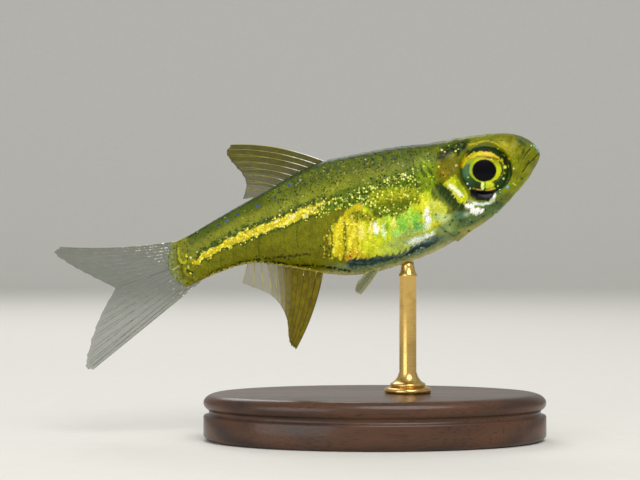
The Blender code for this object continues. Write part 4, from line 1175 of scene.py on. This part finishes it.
def scale_roots():
    """(back, arc, half length, half height) of each scale on one side, front to back."""
    roots = []
    back, shifted = COLUMNS[0], False
    while back < COLUMNS[1]:
        size = crowding(back)
        for row in range(-SCALE_ROWS, SCALE_ROWS + 1):
            arc = (row + 0.5 * shifted) * ROW_HEIGHT * size
            there = turn_on_row(np.array(back), np.array(arc))
            if abs(there) > math.pi / 2 - 0.02:
                continue
            seen = in_picture(back, *section(back, there))
            behind_gills = line_distance(*seen, GILL_OPENING)[0]
            if back >= 6.5 or behind_gills >= 0.3 * size:
                roots.append((back, arc, 0.5 * size, 0.66 * ROW_HEIGHT * size))
        back += COLUMN_SPACING * size
        shifted = not shifted
    return roots


def scale_shape():
    """(x, y) places from -1 to 1 on top of a round plate, the numbers of those on its rim, and its faces.

    The points under its rim come after the ones on top. Faces look outwards on the fish's right side.
    """
    line = np.linspace(-1, 1, SCALE_GRID)
    u, v = (grid.ravel() for grid in np.meshgrid(line, line, indexing="ij"))
    x, y = u * np.sqrt(1 - v * v / 2), v * np.sqrt(1 - u * u / 2)
    rim = grid_rim(SCALE_GRID, SCALE_GRID)
    bottom = [len(x) + i for i in range(len(rim))]
    faces = grid_faces(SCALE_GRID, SCALE_GRID, flip=True)
    for here, after, under, under_after in zip(rim, rim[1:] + rim[:1], bottom, bottom[1:] + bottom[:1]):
        faces.append([here, after, under_after, under])
    return x, y, rim, [*faces, bottom]


def make_scales(side, part, roots):
    """One joined piece of overlapping round plates, each a dome of points with its rim turned under."""
    x, y, rim, shape = scale_shape()
    if side > 0:
        shape = [face[::-1] for face in shape]
    radius = np.hypot(x, y)
    count = len(x) + len(rim)
    points, faces, spots, places = [], [], [], []
    random = np.random.default_rng(51 + side)
    for number, (back0, arc0, half_length, half_height) in enumerate(roots):
        longer, shift, higher, lifted = random.uniform(-1, 1, 4)
        back = back0 + half_length * x * (1 + 0.05 * longer) + 0.03 * shift
        arc = arc0 * crowding(back) / crowding(np.array(back0)) + half_height * y * (1 + 0.05 * higher)
        turn = turn_on_row(back, arc)
        over = ramp(np.abs(turn), math.pi / 2 - 0.05, math.pi / 2 + 0.3)
        turn = turn if side > 0 else math.pi - turn
        here, normal = skin_frame(back, turn)
        low, high = SCALE_LIFT
        lift = low + (high - low) * (x + 1) / 2 + 0.001 * lifted - 0.003 * ramp(radius, 0.9, 1.0)
        lift = lift * ramp(back, 18.1, 17.2) - 0.03 * over
        under = here[rim] + normal[rim] * (lift[rim] - SCALE_THICKNESS)[:, None] * MM
        points += [here + normal * lift[:, None] * MM, under]
        faces += [[number * count + corner for corner in face] for face in shape]
        there = np.stack(body_point(back, turn))
        spots += [there, there[:, rim]]
        around = turn_on_row(np.array(back0), np.array(arc0)) / (2 * math.pi) * 0.9
        root = np.array([0.02 + 0.96 * back0 / SKIN_END, (0.25 if side > 0 else 0.75) + around])
        patch = root + 0.0015 * np.stack([x, y], -1)
        places += [patch, patch[rim]]
    name = f"scales_{part}_" + ("left" if side > 0 else "right")
    piece = mesh_piece(name, np.concatenate(points), faces, SKIN_LOOK)
    sharpen(piece, np.tile(np.isin(np.arange(count), rim), len(roots)))
    edge = ramp(radius, 0.72, 1.0) * ramp(x, -0.1, 0.4)
    edges = np.tile(np.concatenate([edge, edge[rim]]), len(roots))
    fish = painted(*np.concatenate(spots, axis=1))
    fish.tone = fish.tone * (1 - 0.14 * edges[:, None])
    fish.specks = fish.specks * (0.75 + 0.5 * edges)
    give_paint(piece, fish)
    give_map(piece, np.concatenate(places))
    return piece


# The fins

RAY_SIDES = 6
RAY_JOINTS = 26


def make_ray(line, radius):
    """Points and faces of a tapering jointed rod along a line in metres."""
    along = np.gradient(line, axis=0)
    along /= np.linalg.norm(along, axis=1, keepdims=True)
    out = np.cross(along, (0.0, 1.0, 0.0))
    out /= np.linalg.norm(out, axis=1, keepdims=True)
    aside = np.cross(along, out)
    turns = full_turn(RAY_SIDES)[:, None]
    ring = out[:, None] * np.cos(turns) + aside[:, None] * np.sin(turns)
    points = line[:, None] + ring * radius[:, None, None]
    return points.reshape(-1, 3), tube_faces(len(line), RAY_SIDES)


class Fin:
    """A fin from a root line to a tip line of (back, up, left) points, each at even steps across its rays."""

    def __init__(self, root, tip, bow=(0.0, 0.0), side=1):
        self.root, self.tip = np.array(root, float), np.array(tip, float)
        self.bow, self.side = np.array([*bow, 0.0]), side

    def at(self, share, out):
        """Points at shares of the way across the rays from the leading one, and out along them."""
        share, out = np.broadcast_arrays(share, out)
        across = np.clip(share, 0, 1).ravel()
        ends = []
        for line in (self.root, self.tip):
            ends.append(smooth_at(line, np.arange(len(line)), across * (len(line) - 1)))
        out = out.ravel()[:, None]
        swell = 4 * out * (1 - out) * (1 - across[:, None])
        made = ends[0] * (1 - out) + ends[1] * out + swell * self.bow
        made[:, 2] *= self.side
        return made.reshape(*share.shape, 3)


def make_membrane(name, fin, shares, thickness, look, rays):
    """A thin closed film over part of the fin, dented between its rays and a little frayed at its edge."""
    across, steps = max(10, round(120 * (shares[1] - shares[0]))), 40
    share, out = np.meshgrid(np.linspace(*shares, across), np.linspace(0, 1, steps), indexing="ij")
    dent = np.abs(np.sin(math.pi * share * (rays - 1)))
    fray = 1 - 0.012 * dent - 0.004 * ripple(share * 10, share * 3, 0.4, 71)
    middle = fin.at(share, out * fray)
    film = thickness * (1 - 0.75 * out) * 0.5
    points = []
    for side in (1, -1):
        shifted = middle.copy()
        shifted[..., 2] += side * film * (1 - 0.3 * dent)
        points.append(place(*np.moveaxis(shifted, -1, 0)).reshape(-1, 3))
    count = across * steps
    faces = grid_faces(across, steps) + grid_faces(across, steps, start=count, flip=True)
    rim = grid_rim(across, steps)
    for here, after in zip(rim, rim[1:] + rim[:1]):
        faces.append([here, here + count, after + count, after])
    return solid_piece(name, np.concatenate(points), faces, look)


def make_films(name, fin, tone, bands, thickness, rays):
    """Films side by side, from the leading ray back, from (share where each ends, alpha) pairs."""
    films, start = [], 0
    for number, (end, alpha) in enumerate(bands):
        film = f"{name}_{number}"
        look = membrane_look(film, tone, alpha)
        films.append(make_membrane(film, fin, (start, end), thickness - 0.001 * number, look, rays))
        start = end
    return films


def ray_forks(gap):
    """(start, end, aside) of each length of a ray that forks twice."""
    forks = [(0.0, 0.48, 0.0)]
    forks += [(0.44, 0.76, gap * way) for way in (-1, 1)]
    return forks + [(0.72, 1.0, gap * way * grown) for way in (-1, 1) for grown in (0.55, 1.6)]


def make_rays(name, fin, count, radius, colours, base, leading=1, spread=0.12, look=RAY_LOOK):
    """The fin's rays: the leading ones whole, the rest forked twice, with paint from root to tip.

    colours are the rays' tones from the leading one back, and base is (tone, reach, glints) of their roots.
    """
    points, faces, tones, glints = [], [], [], []
    total, gap = 0, spread / (count - 1)
    for number in range(count):
        share, whole = number / (count - 1), number < leading
        place_in = share * (len(colours) - 1)
        low = min(int(place_in), len(colours) - 2)
        tone = colours[low] + (colours[low + 1] - colours[low]) * (place_in - low)
        for start, end, aside in [(0.0, 1.0, 0.0)] if whole else ray_forks(gap):
            out = np.linspace(start, end, max(8, int(70 * (end - start))))
            opened = ramp(out, start - 0.02, end + 0.1) if start else np.zeros(len(out))
            twig = start > 0.6
            before = np.sign(aside) * gap if twig else 0.0
            line = fin.at(share + before + (aside - before) * opened, out * (0.985 if whole else 0.955))
            beat = np.cos(out * 2 * math.pi * RAY_JOINTS)
            thick = radius * (1 - 0.72 * out) * (0.8 if twig else 1.0) * (1.25 if whole else 1.0)
            thick = thick * (1 + 0.13 * beat * (out > 0.18)) * MM
            made, made_faces = make_ray(place(*np.moveaxis(line, -1, 0)), thick)
            points.append(made)
            faces += [[corner + total for corner in face] for face in made_faces]
            total += len(made)
            reach = base[1] * (1.25 - share)
            near = np.repeat(ramp(out, reach, reach * 0.35), RAY_SIDES)[:, None]
            shade = np.repeat(1 - 0.15 * (beat > 0.6), RAY_SIDES)[:, None]
            tones.append((tone * (1 - near) + base[0] * near) * shade)
            glints.append(near[:, 0] * base[2])
    piece = solid_piece(name, np.concatenate(points), faces, look)
    fish = Paint(np.zeros(total), np.zeros(total))
    fish.tone = np.concatenate(tones)
    fish.grain = np.tile(SILVER, (total, 1))
    fish.glints = fish.shine = np.concatenate(glints)
    give_paint(piece, fish)
    return piece


def plain_fin(kind, which, fin, film, count, *ray_facts):
    """A fin with one film, from its (tone, alpha, thickness), and with that many rays."""
    tone, alpha, thickness = film
    look = membrane_look(f"{kind}_film_{which}", tone, alpha)
    membrane = make_membrane(f"{kind}_film_{which}", fin, (0, 1), thickness, look, count)
    rays = make_rays(f"{kind}_rays_{which}", fin, count, *ray_facts)
    return [membrane, rays], f"{kind}_fin_{which}", "fin"


def dorsal_fin():
    root = [(back, float(TOP(back)) - ROOT_DEPTH, 0.0) for back in (9.6, 10.25, 10.9, 11.6, 12.3, 12.95)]
    tip = [
        (13.7, 4.6, 0.06), (14.02, 4.3, 0.05), (13.86, 3.72, 0.02), (13.6, 3.15, 0.0), (13.55, 2.6, 0),
        (13.9, 2.0, 0),
    ]
    fin = Fin(root, tip, (-0.05, 0.26))
    bands = ((0.35, 0.78), (0.58, 0.7), (0.8, 0.6), (1, 0.48))
    films = make_films("dorsal_film", fin, colour(82, 78, 4), bands, 0.03, 9)
    olive = colour(150, 144, 64)
    tones = [olive * 1.2, olive, olive, olive * 1.15]
    rays = make_rays("dorsal_rays", fin, 9, 0.021, tones, (WHITE * 0.9, 0.42, 0.5), 2)
    return [*films, rays], "dorsal_fin", "fin"


def anal_fin():
    root = [(back, float(BOTTOM(back)) + ROOT_DEPTH, 0.0) for back in (11.3, 12.1, 12.9, 13.7, 14.5)]
    tip = [
        (13.62, -5.48, 0.1), (13.8, -5.05, 0.08), (13.6, -3.85, 0.04), (13.95, -2.75, 0.0),
        (15.08, -1.78, 0.0),
    ]
    fin = Fin(root, tip, (-0.1, -0.14))
    bands = ((0.4, 0.95), (0.47, 0.82), (0.54, 0.66), (0.62, 0.5), (0.74, 0.34), (1, 0.2))
    films = make_films("anal_film", fin, colour(110, 98, 6), bands, 0.034, 13)
    dark, pale = colour(78, 68, 10), colour(176, 168, 96)
    tones = [dark, dark, dark * 1.1, colour(110, 100, 24), pale * 0.85, pale, pale]
    rays = make_rays("anal_rays", fin, 13, 0.032, tones, (colour(150, 138, 40), 0.12, 0.1), 2, 0.06)
    return [*films, rays], "anal_fin", "anal_fin"


def caudal_fin(lobe):
    upper = lobe == "upper"
    if upper:
        root = [(17.25, 0.98, 0), (17.55, 0.76, 0), (17.72, 0.48, 0), (17.78, 0.18, 0), (17.78, -0.11, 0)]
        tip = [(22.9, 2.42, 0), (23.24, 2.2, 0), (22.62, 1.4, 0), (21.85, 0.64, 0), (20.93, -0.23, 0)]
    else:
        root = [(16.95, -1.1, 0), (17.5, -0.98, 0), (17.72, -0.7, 0), (17.78, -0.4, 0), (17.78, -0.11, 0)]
        tip = [(23.15, -3.62, 0), (23.42, -3.35, 0), (22.75, -2.2, 0), (21.95, -1.2, 0), (20.93, -0.23, 0)]
    fin = Fin(root, tip, (0.0, -0.17 if upper else 0.0))
    film = (colour(74, 80, 62), 0.36, 0.034)
    grey = colour(140, 144, 128)
    base = (colour(128, 134, 100), 0.5 if upper else 0.24, 0.8)
    tones = [grey * 0.85, grey, grey]
    return plain_fin("caudal", lobe, fin, film, 10 if upper else 9, 0.024, tones, base, 1, 0.16)


def pectoral_fin(side):
    left = float(side_width(6.0, -1.8)) - ROOT_DEPTH
    root = [(5.95, -1.42, left), (6.0, -1.8, left), (6.1, -2.15, left - 0.08)]
    tip = [(8.72, -2.15, 1.72), (8.5, -2.5, 1.68), (7.7, -2.75, 1.5)]
    fin = Fin(root, tip, (0.0, 0.12), SIDES[side])
    film = (colour(190, 200, 150), 0.03, 0.02)
    pale = colour(200, 212, 140)
    rays = (0.009, [pale, pale], (pale, 0.1, 0.1), 1, 0.12, FAINT_RAY_LOOK)
    return plain_fin("pectoral", side, fin, film, 10, *rays)


def pelvic_fin(side):
    under = float(BOTTOM(9.0)) + 0.15
    root = [(8.7, under, 0.4), (9.0, under, 0.43), (9.32, under, 0.46)]
    tip = [(9.95, -3.9, 0.58), (10.14, -3.68, 0.6), (9.98, -3.36, 0.6)]
    fin = Fin(root, tip, (0.0, -0.05), SIDES[side])
    film = (colour(118, 122, 84), 0.24, 0.026)
    pale = colour(170, 172, 110)
    tones = [pale, pale * 0.35, pale * 0.4, pale]
    return plain_fin("pelvic", side, fin, film, 7, 0.024, tones, (pale, 0.1, 0.1))


# The eyes

def eye_paint(ahead, up):
    """The eye's paint at places ahead of and above the middle of its pupil, in millimetres, seen level."""
    fish = Paint(ahead, up)
    shift = fish.uneven(0.02, 0.25, 81)
    fish.lay(np.ones(len(ahead)), (34, 58, 22), YELLOW_GREEN, glints=0.03, specks=0.1)
    fish.lay(ramp(ahead, -0.5, -0.85) * ramp(up, -0.75, -0.3), (76, 112, 74))
    fish.lay(ramp(ahead, -0.35, -0.7) * ramp(up, -0.2, -0.6), (44, 80, 44))
    paint_eye_arc(fish, shift)
    paint_iris(fish, shift)
    for at, size, tone in EYE_PATCHES:
        fish.lay(fish.spot(at, size, 0, 0.25), tone, glints=0.08, specks=0, shine=0.3)
    fish.lay(fish.streak([(-0.52, -0.84), (-0.36, -0.88), (-0.16, -0.91)], 0.03), (216, 160, 62), glints=0.2)
    fish.lay(fish.streak([(0.08, -0.93), (0.3, -0.9), (0.5, -0.84)], 0.03), (206, 176, 48), glints=0.2)
    for at, size, tone in EYE_LIGHTS:
        fish.lay(fish.spot(at, (size, size)), tone, glints=0, specks=0, shine=0.3)
    fish.lay(ramp(up + 0.16 * ahead**2, -0.92, -0.97), (8, 10, 6), glints=0, specks=0, shine=0)
    pupil = np.hypot(ahead / 0.567, up / 0.52) + 0.3 * shift
    fish.lay(ramp(pupil, 1.04, 0.97), (3, 2, 6), glints=0, specks=0, shine=0)
    return fish


def paint_eye_arc(fish, shift):
    """The gold arc over the eye."""
    ahead, up = fish.back, fish.up
    outer = np.hypot((ahead + 0.1) / 1.1, up / 0.9) + shift * 1.5
    inner = np.hypot(ahead / 0.97, up / 0.71) + shift
    band = ramp(outer, 1.03, 0.96) * ramp(inner, 0.97, 1.05) * ramp(up - 0.06 * ahead, 0.12, 0.26)
    # Dark outside the gold arc: painted shadow of the socket's rim on the eyeball's top edge
    fish.lay(ramp(outer, 0.97, 1.03) * ramp(up, 0.1, 0.4), ORBIT_SHADOW_TONE, glints=0, specks=0)
    gap = ramp(inner, 1.03, 0.97) * ramp(ahead, -0.25, -0.45) * ramp(up, 0.22, 0.4)
    fish.lay(gap * 0.9, (146, 164, 26), glints=0.1, specks=0)
    fill = ramp(outer, 1.0, 0.95) * ramp(up, 0.42, 0.54) * bump(ahead, 0.12, 0.4)
    fish.lay(fill, (178, 156, 20), GOLD, glints=0.15, specks=0)
    fish.lay(band, (198, 182, 22), GOLD, glints=0.35, specks=0, shine=0.3)
    fish.lay(band * ramp(ahead, 0.45, 0.85), (198, 164, 18))
    fish.lay(band * bump(ahead, 0.25, 0.3) * 0.8, (224, 184, 50))
    fish.lay(band * fish.wave(0.2, 83, 0.3, 1.0) * 0.4, (150, 130, 16))


def paint_iris(fish, shift):
    """The yellow ring round the pupil."""
    ahead, up = fish.back, fish.up
    ring = np.hypot((ahead - 0.05) / 0.75, (up - 0.03) / 0.62) + 0.6 * shift
    ringed = ramp(ring, 1.04, 0.94)
    fish.lay(ringed, (186, 196, 20), LEMON, glints=0.15, specks=0, shine=0.3)
    fish.lay(ringed * ramp(ahead, 0.25, 0.6), (194, 200, 24))
    fish.lay(ringed * ramp(ahead, 0.2, 0.5) * ramp(up, 0.1, 0.4) * 0.7, (130, 138, 12))
    fish.lay(ringed * ramp(ahead, -0.35, -0.6) * 0.8, (140, 164, 26))
    fish.lay(ringed * ramp(up, 0.4, 0.6) * 0.8, (176, 158, 18))
    seam = ramp(np.abs(np.hypot((ahead - 0.04) / 0.78, (up - 0.02) / 0.6) - 1), 0.11, 0.04)
    fish.lay(seam * ramp(up, 0.3, 0.42) * bump(ahead, 0.24, 0.3), (86, 68, 6), glints=0)
    fish.lay(ramp(np.abs(ring - 1.12), 0.05, 0.01) * ramp(ahead, 0.3, 0.6) * 0.4, YELLOW_GREEN * 0.5)


def turned(ahead, up, angle):
    """Two measures at right angles after a turn by an angle."""
    return ahead * math.cos(angle) - up * math.sin(angle), ahead * math.sin(angle) + up * math.cos(angle)


def make_eye(side):
    tilts = np.linspace(0.004, math.pi - 0.004, EYE_RINGS)
    tilt, turn = np.meshgrid(tilts, full_turn(EYE_SIDES), indexing="ij")
    out = EYE_HALF_THICKNESS * np.cos(tilt)
    ahead = EYE_RADIUS * np.sin(tilt) * np.cos(turn)
    up = EYE_RADIUS * np.sin(tilt) * np.sin(turn)
    forwards, outwards = turned(ahead, out, -EYE_TURNED_FORWARD)
    back = EYE_BACK - forwards
    left = SIDES[side] * (EYE_SIDEWAYS + outwards)
    points = place(back, EYE_UP + up, left)
    piece = solid_piece(f"{side}_eyeball", points, tube_faces(EYE_RINGS, EYE_SIDES), EYE_LOOK)
    seen_back, seen_up = in_picture(back, EYE_UP + up, left)
    level = turned(PUPIL_BACK - seen_back, seen_up - PUPIL_UP, PITCH)
    fish = eye_paint(*(part.ravel() for part in level))
    behind = ramp(tilt.ravel(), math.pi / 2, math.pi / 2 + 0.1)
    fish.lay(behind, (30, 40, 26), glints=0, specks=0, shine=0)
    give_paint(piece, fish)
    return piece


# The stand

def lathe(name, profile, centre, stretch, material, sides=160):
    """A turned form from (radius, height) pairs, in millimetres, stretched along x and y."""
    turns = full_turn(sides)
    radius, height = (np.array(part)[:, None] for part in zip(*profile))
    x = centre[0] + stretch[0] * radius * np.cos(turns)
    y = centre[1] + stretch[1] * radius * np.sin(turns)
    points = np.stack([x, y, np.broadcast_to(height, x.shape)], -1) * MM
    return solid_piece(name, points, tube_faces(len(profile), sides), material)


def arc_profile(middle, radius, start, end, steps=8):
    """(radius, height) pairs round a quarter or less of a circle, its angles in degrees."""
    turns = np.radians(np.linspace(start, end, steps))
    return [(middle[0] + radius * math.cos(turn), middle[1] + radius * math.sin(turn)) for turn in turns]


def make_base():
    edge = BASE_WIDTH / 2
    profile = [(edge - BASE_BEVEL, 0.0)]
    profile += arc_profile((edge - BASE_BEVEL, BASE_BEVEL), BASE_BEVEL, -80, 0)
    profile += [(edge, 1.12), (edge - 0.02, 1.18), (edge - 0.14, 1.22), (edge - 0.16, 1.3)]
    profile += arc_profile((edge - 0.44, 1.76), 0.44, -50, 75, 14)
    profile += [(edge - 0.6, BASE_HEIGHT), (edge - 1.0, BASE_HEIGHT), (0.05, BASE_HEIGHT)]
    return lathe("oval_base", profile, (0, 0), (BASE_LENGTH / BASE_WIDTH, 1.0), wood_look(), 220)


def make_rod():
    x, y, z = place(ROD_STATION, BOTTOM(ROD_STATION), 0) / MM
    foot, top = BASE_HEIGHT, z + 0.03
    foot_top = foot + ROD_FOOT_HEIGHT + 0.2
    profile = [(0.05, foot - 0.02), (ROD_FOOT_RADIUS - 0.06, foot - 0.02)]
    profile += arc_profile((ROD_FOOT_RADIUS - 0.14, foot + 0.12), 0.14, -60, 90, 10)
    profile += [(ROD_FOOT_RADIUS * 0.72, foot + 0.28)]
    profile += arc_profile((ROD_FOOT_RADIUS * 0.66, foot + 0.38), 0.1, -80, 80, 7)
    profile += [(0.62, foot_top - 0.1), (0.48, foot_top + 0.1), (ROD_RADIUS, foot_top + 0.34)]
    profile += [(ROD_RADIUS, top - 0.75), (ROD_RADIUS + 0.03, top - 0.68), (ROD_RADIUS + 0.03, top - 0.58)]
    profile += [(ROD_RADIUS - 0.04, top - 0.5), (ROD_RADIUS * 0.75, top - 0.2), (ROD_RADIUS * 0.7, top)]
    return lathe("turned_rod", profile, (x, y), (1, 1), brass_look(), 96)


# Studio and camera

def make_backdrop():
    """A pale floor that curves up to a wall far behind."""
    bend, wall, half_width = 160.0, 420.0, 1500.0
    profile = [(-1500.0, 0.0), (wall - bend, 0.0)]
    for turn in np.linspace(0, math.pi / 2, 24)[1:]:
        profile.append((wall - bend + bend * math.sin(turn), bend - bend * math.cos(turn)))
    profile.append((wall, 900.0))
    points = [(x, y, z) for y, z in profile for x in (-half_width, half_width)]
    paper = paper_look("paper", colour(226, 224, 217))
    floor = solid_piece("backdrop", np.array(points) * MM, grid_faces(len(profile), 2), paper)


def area_light(name, at, size, power, tone=(1.0, 1.0, 1.0)):
    lamp = bpy.data.lights.new(name, "AREA")
    lamp.shape = "DISK"
    lamp.size = size * MM
    lamp.energy = power
    lamp.color = tone
    light = link(bpy.data.objects.new(name, lamp))
    light.location = Vector(at) * MM
    aim = Vector(FISH_MIDDLE) - Vector(at)
    light.rotation_euler = aim.to_track_quat("-Z", "Y").to_euler()


def make_studio():
    scene = bpy.context.scene
    scene.view_settings.view_transform = "Standard"
    world = bpy.data.worlds.new("soft_room")
    scene.world = world
    world.use_nodes = True
    background = world.node_tree.nodes["Background"]
    background.inputs["Color"].default_value = rgba(colour(236, 238, 240))
    background.inputs["Strength"].default_value = 0.65
    area_light("key", (40, -120, 150), 130, 0.2, (1.0, 0.98, 0.94))
    area_light("fill", (-110, -130, 40), 140, 0.09)
    area_light("rim", (-40, 130, 140), 110, 0.1)


def make_camera():
    lens = bpy.data.cameras.new("camera")
    lens.lens = 100
    lens.sensor_width = 36
    lens.clip_start = 0.002
    lens.clip_end = 10
    camera = link(bpy.data.objects.new("camera", lens))
    camera.location = Vector((FISH_MIDDLE[0], -CAMERA_AWAY, FISH_MIDDLE[2])) * MM
    camera.rotation_euler = (math.pi / 2, 0, 0)
    bpy.context.scene.camera = camera


def add(pieces, nodes):
    """Sets pieces on the model in place of solids, and hides the solids they replace."""
    for piece in pieces:
        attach(piece, "root")
        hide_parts(*nodes)


def make_fish():
    add([make_skin()], ["head", "torso", "tail"])
    roots = scale_roots()
    for part, start, end in (("fore", 0, 8.6), ("middle", 8.6, 12.2), ("rear", 12.2, 30)):
        chosen = [root for root in roots if start <= root[0] < end]
        for way in SIDES.values():
            add([make_scales(way, part, chosen)], ["torso"] if part == "fore" else ["tail"])
    for fin in (dorsal_fin(), anal_fin(), caudal_fin("upper"), caudal_fin("lower")):
        add(fin[0], [fin[1]])
    for side in SIDES:
        for fin in (pectoral_fin(side), pelvic_fin(side)):
            add(fin[0], [fin[1]])
        add([make_eye(side)], [f"eye_{side}"])


make_fish()
add([make_base()], ["stand_base"])
add([make_rod()], ["stand_rod"])
make_backdrop()
make_studio()
make_camera()
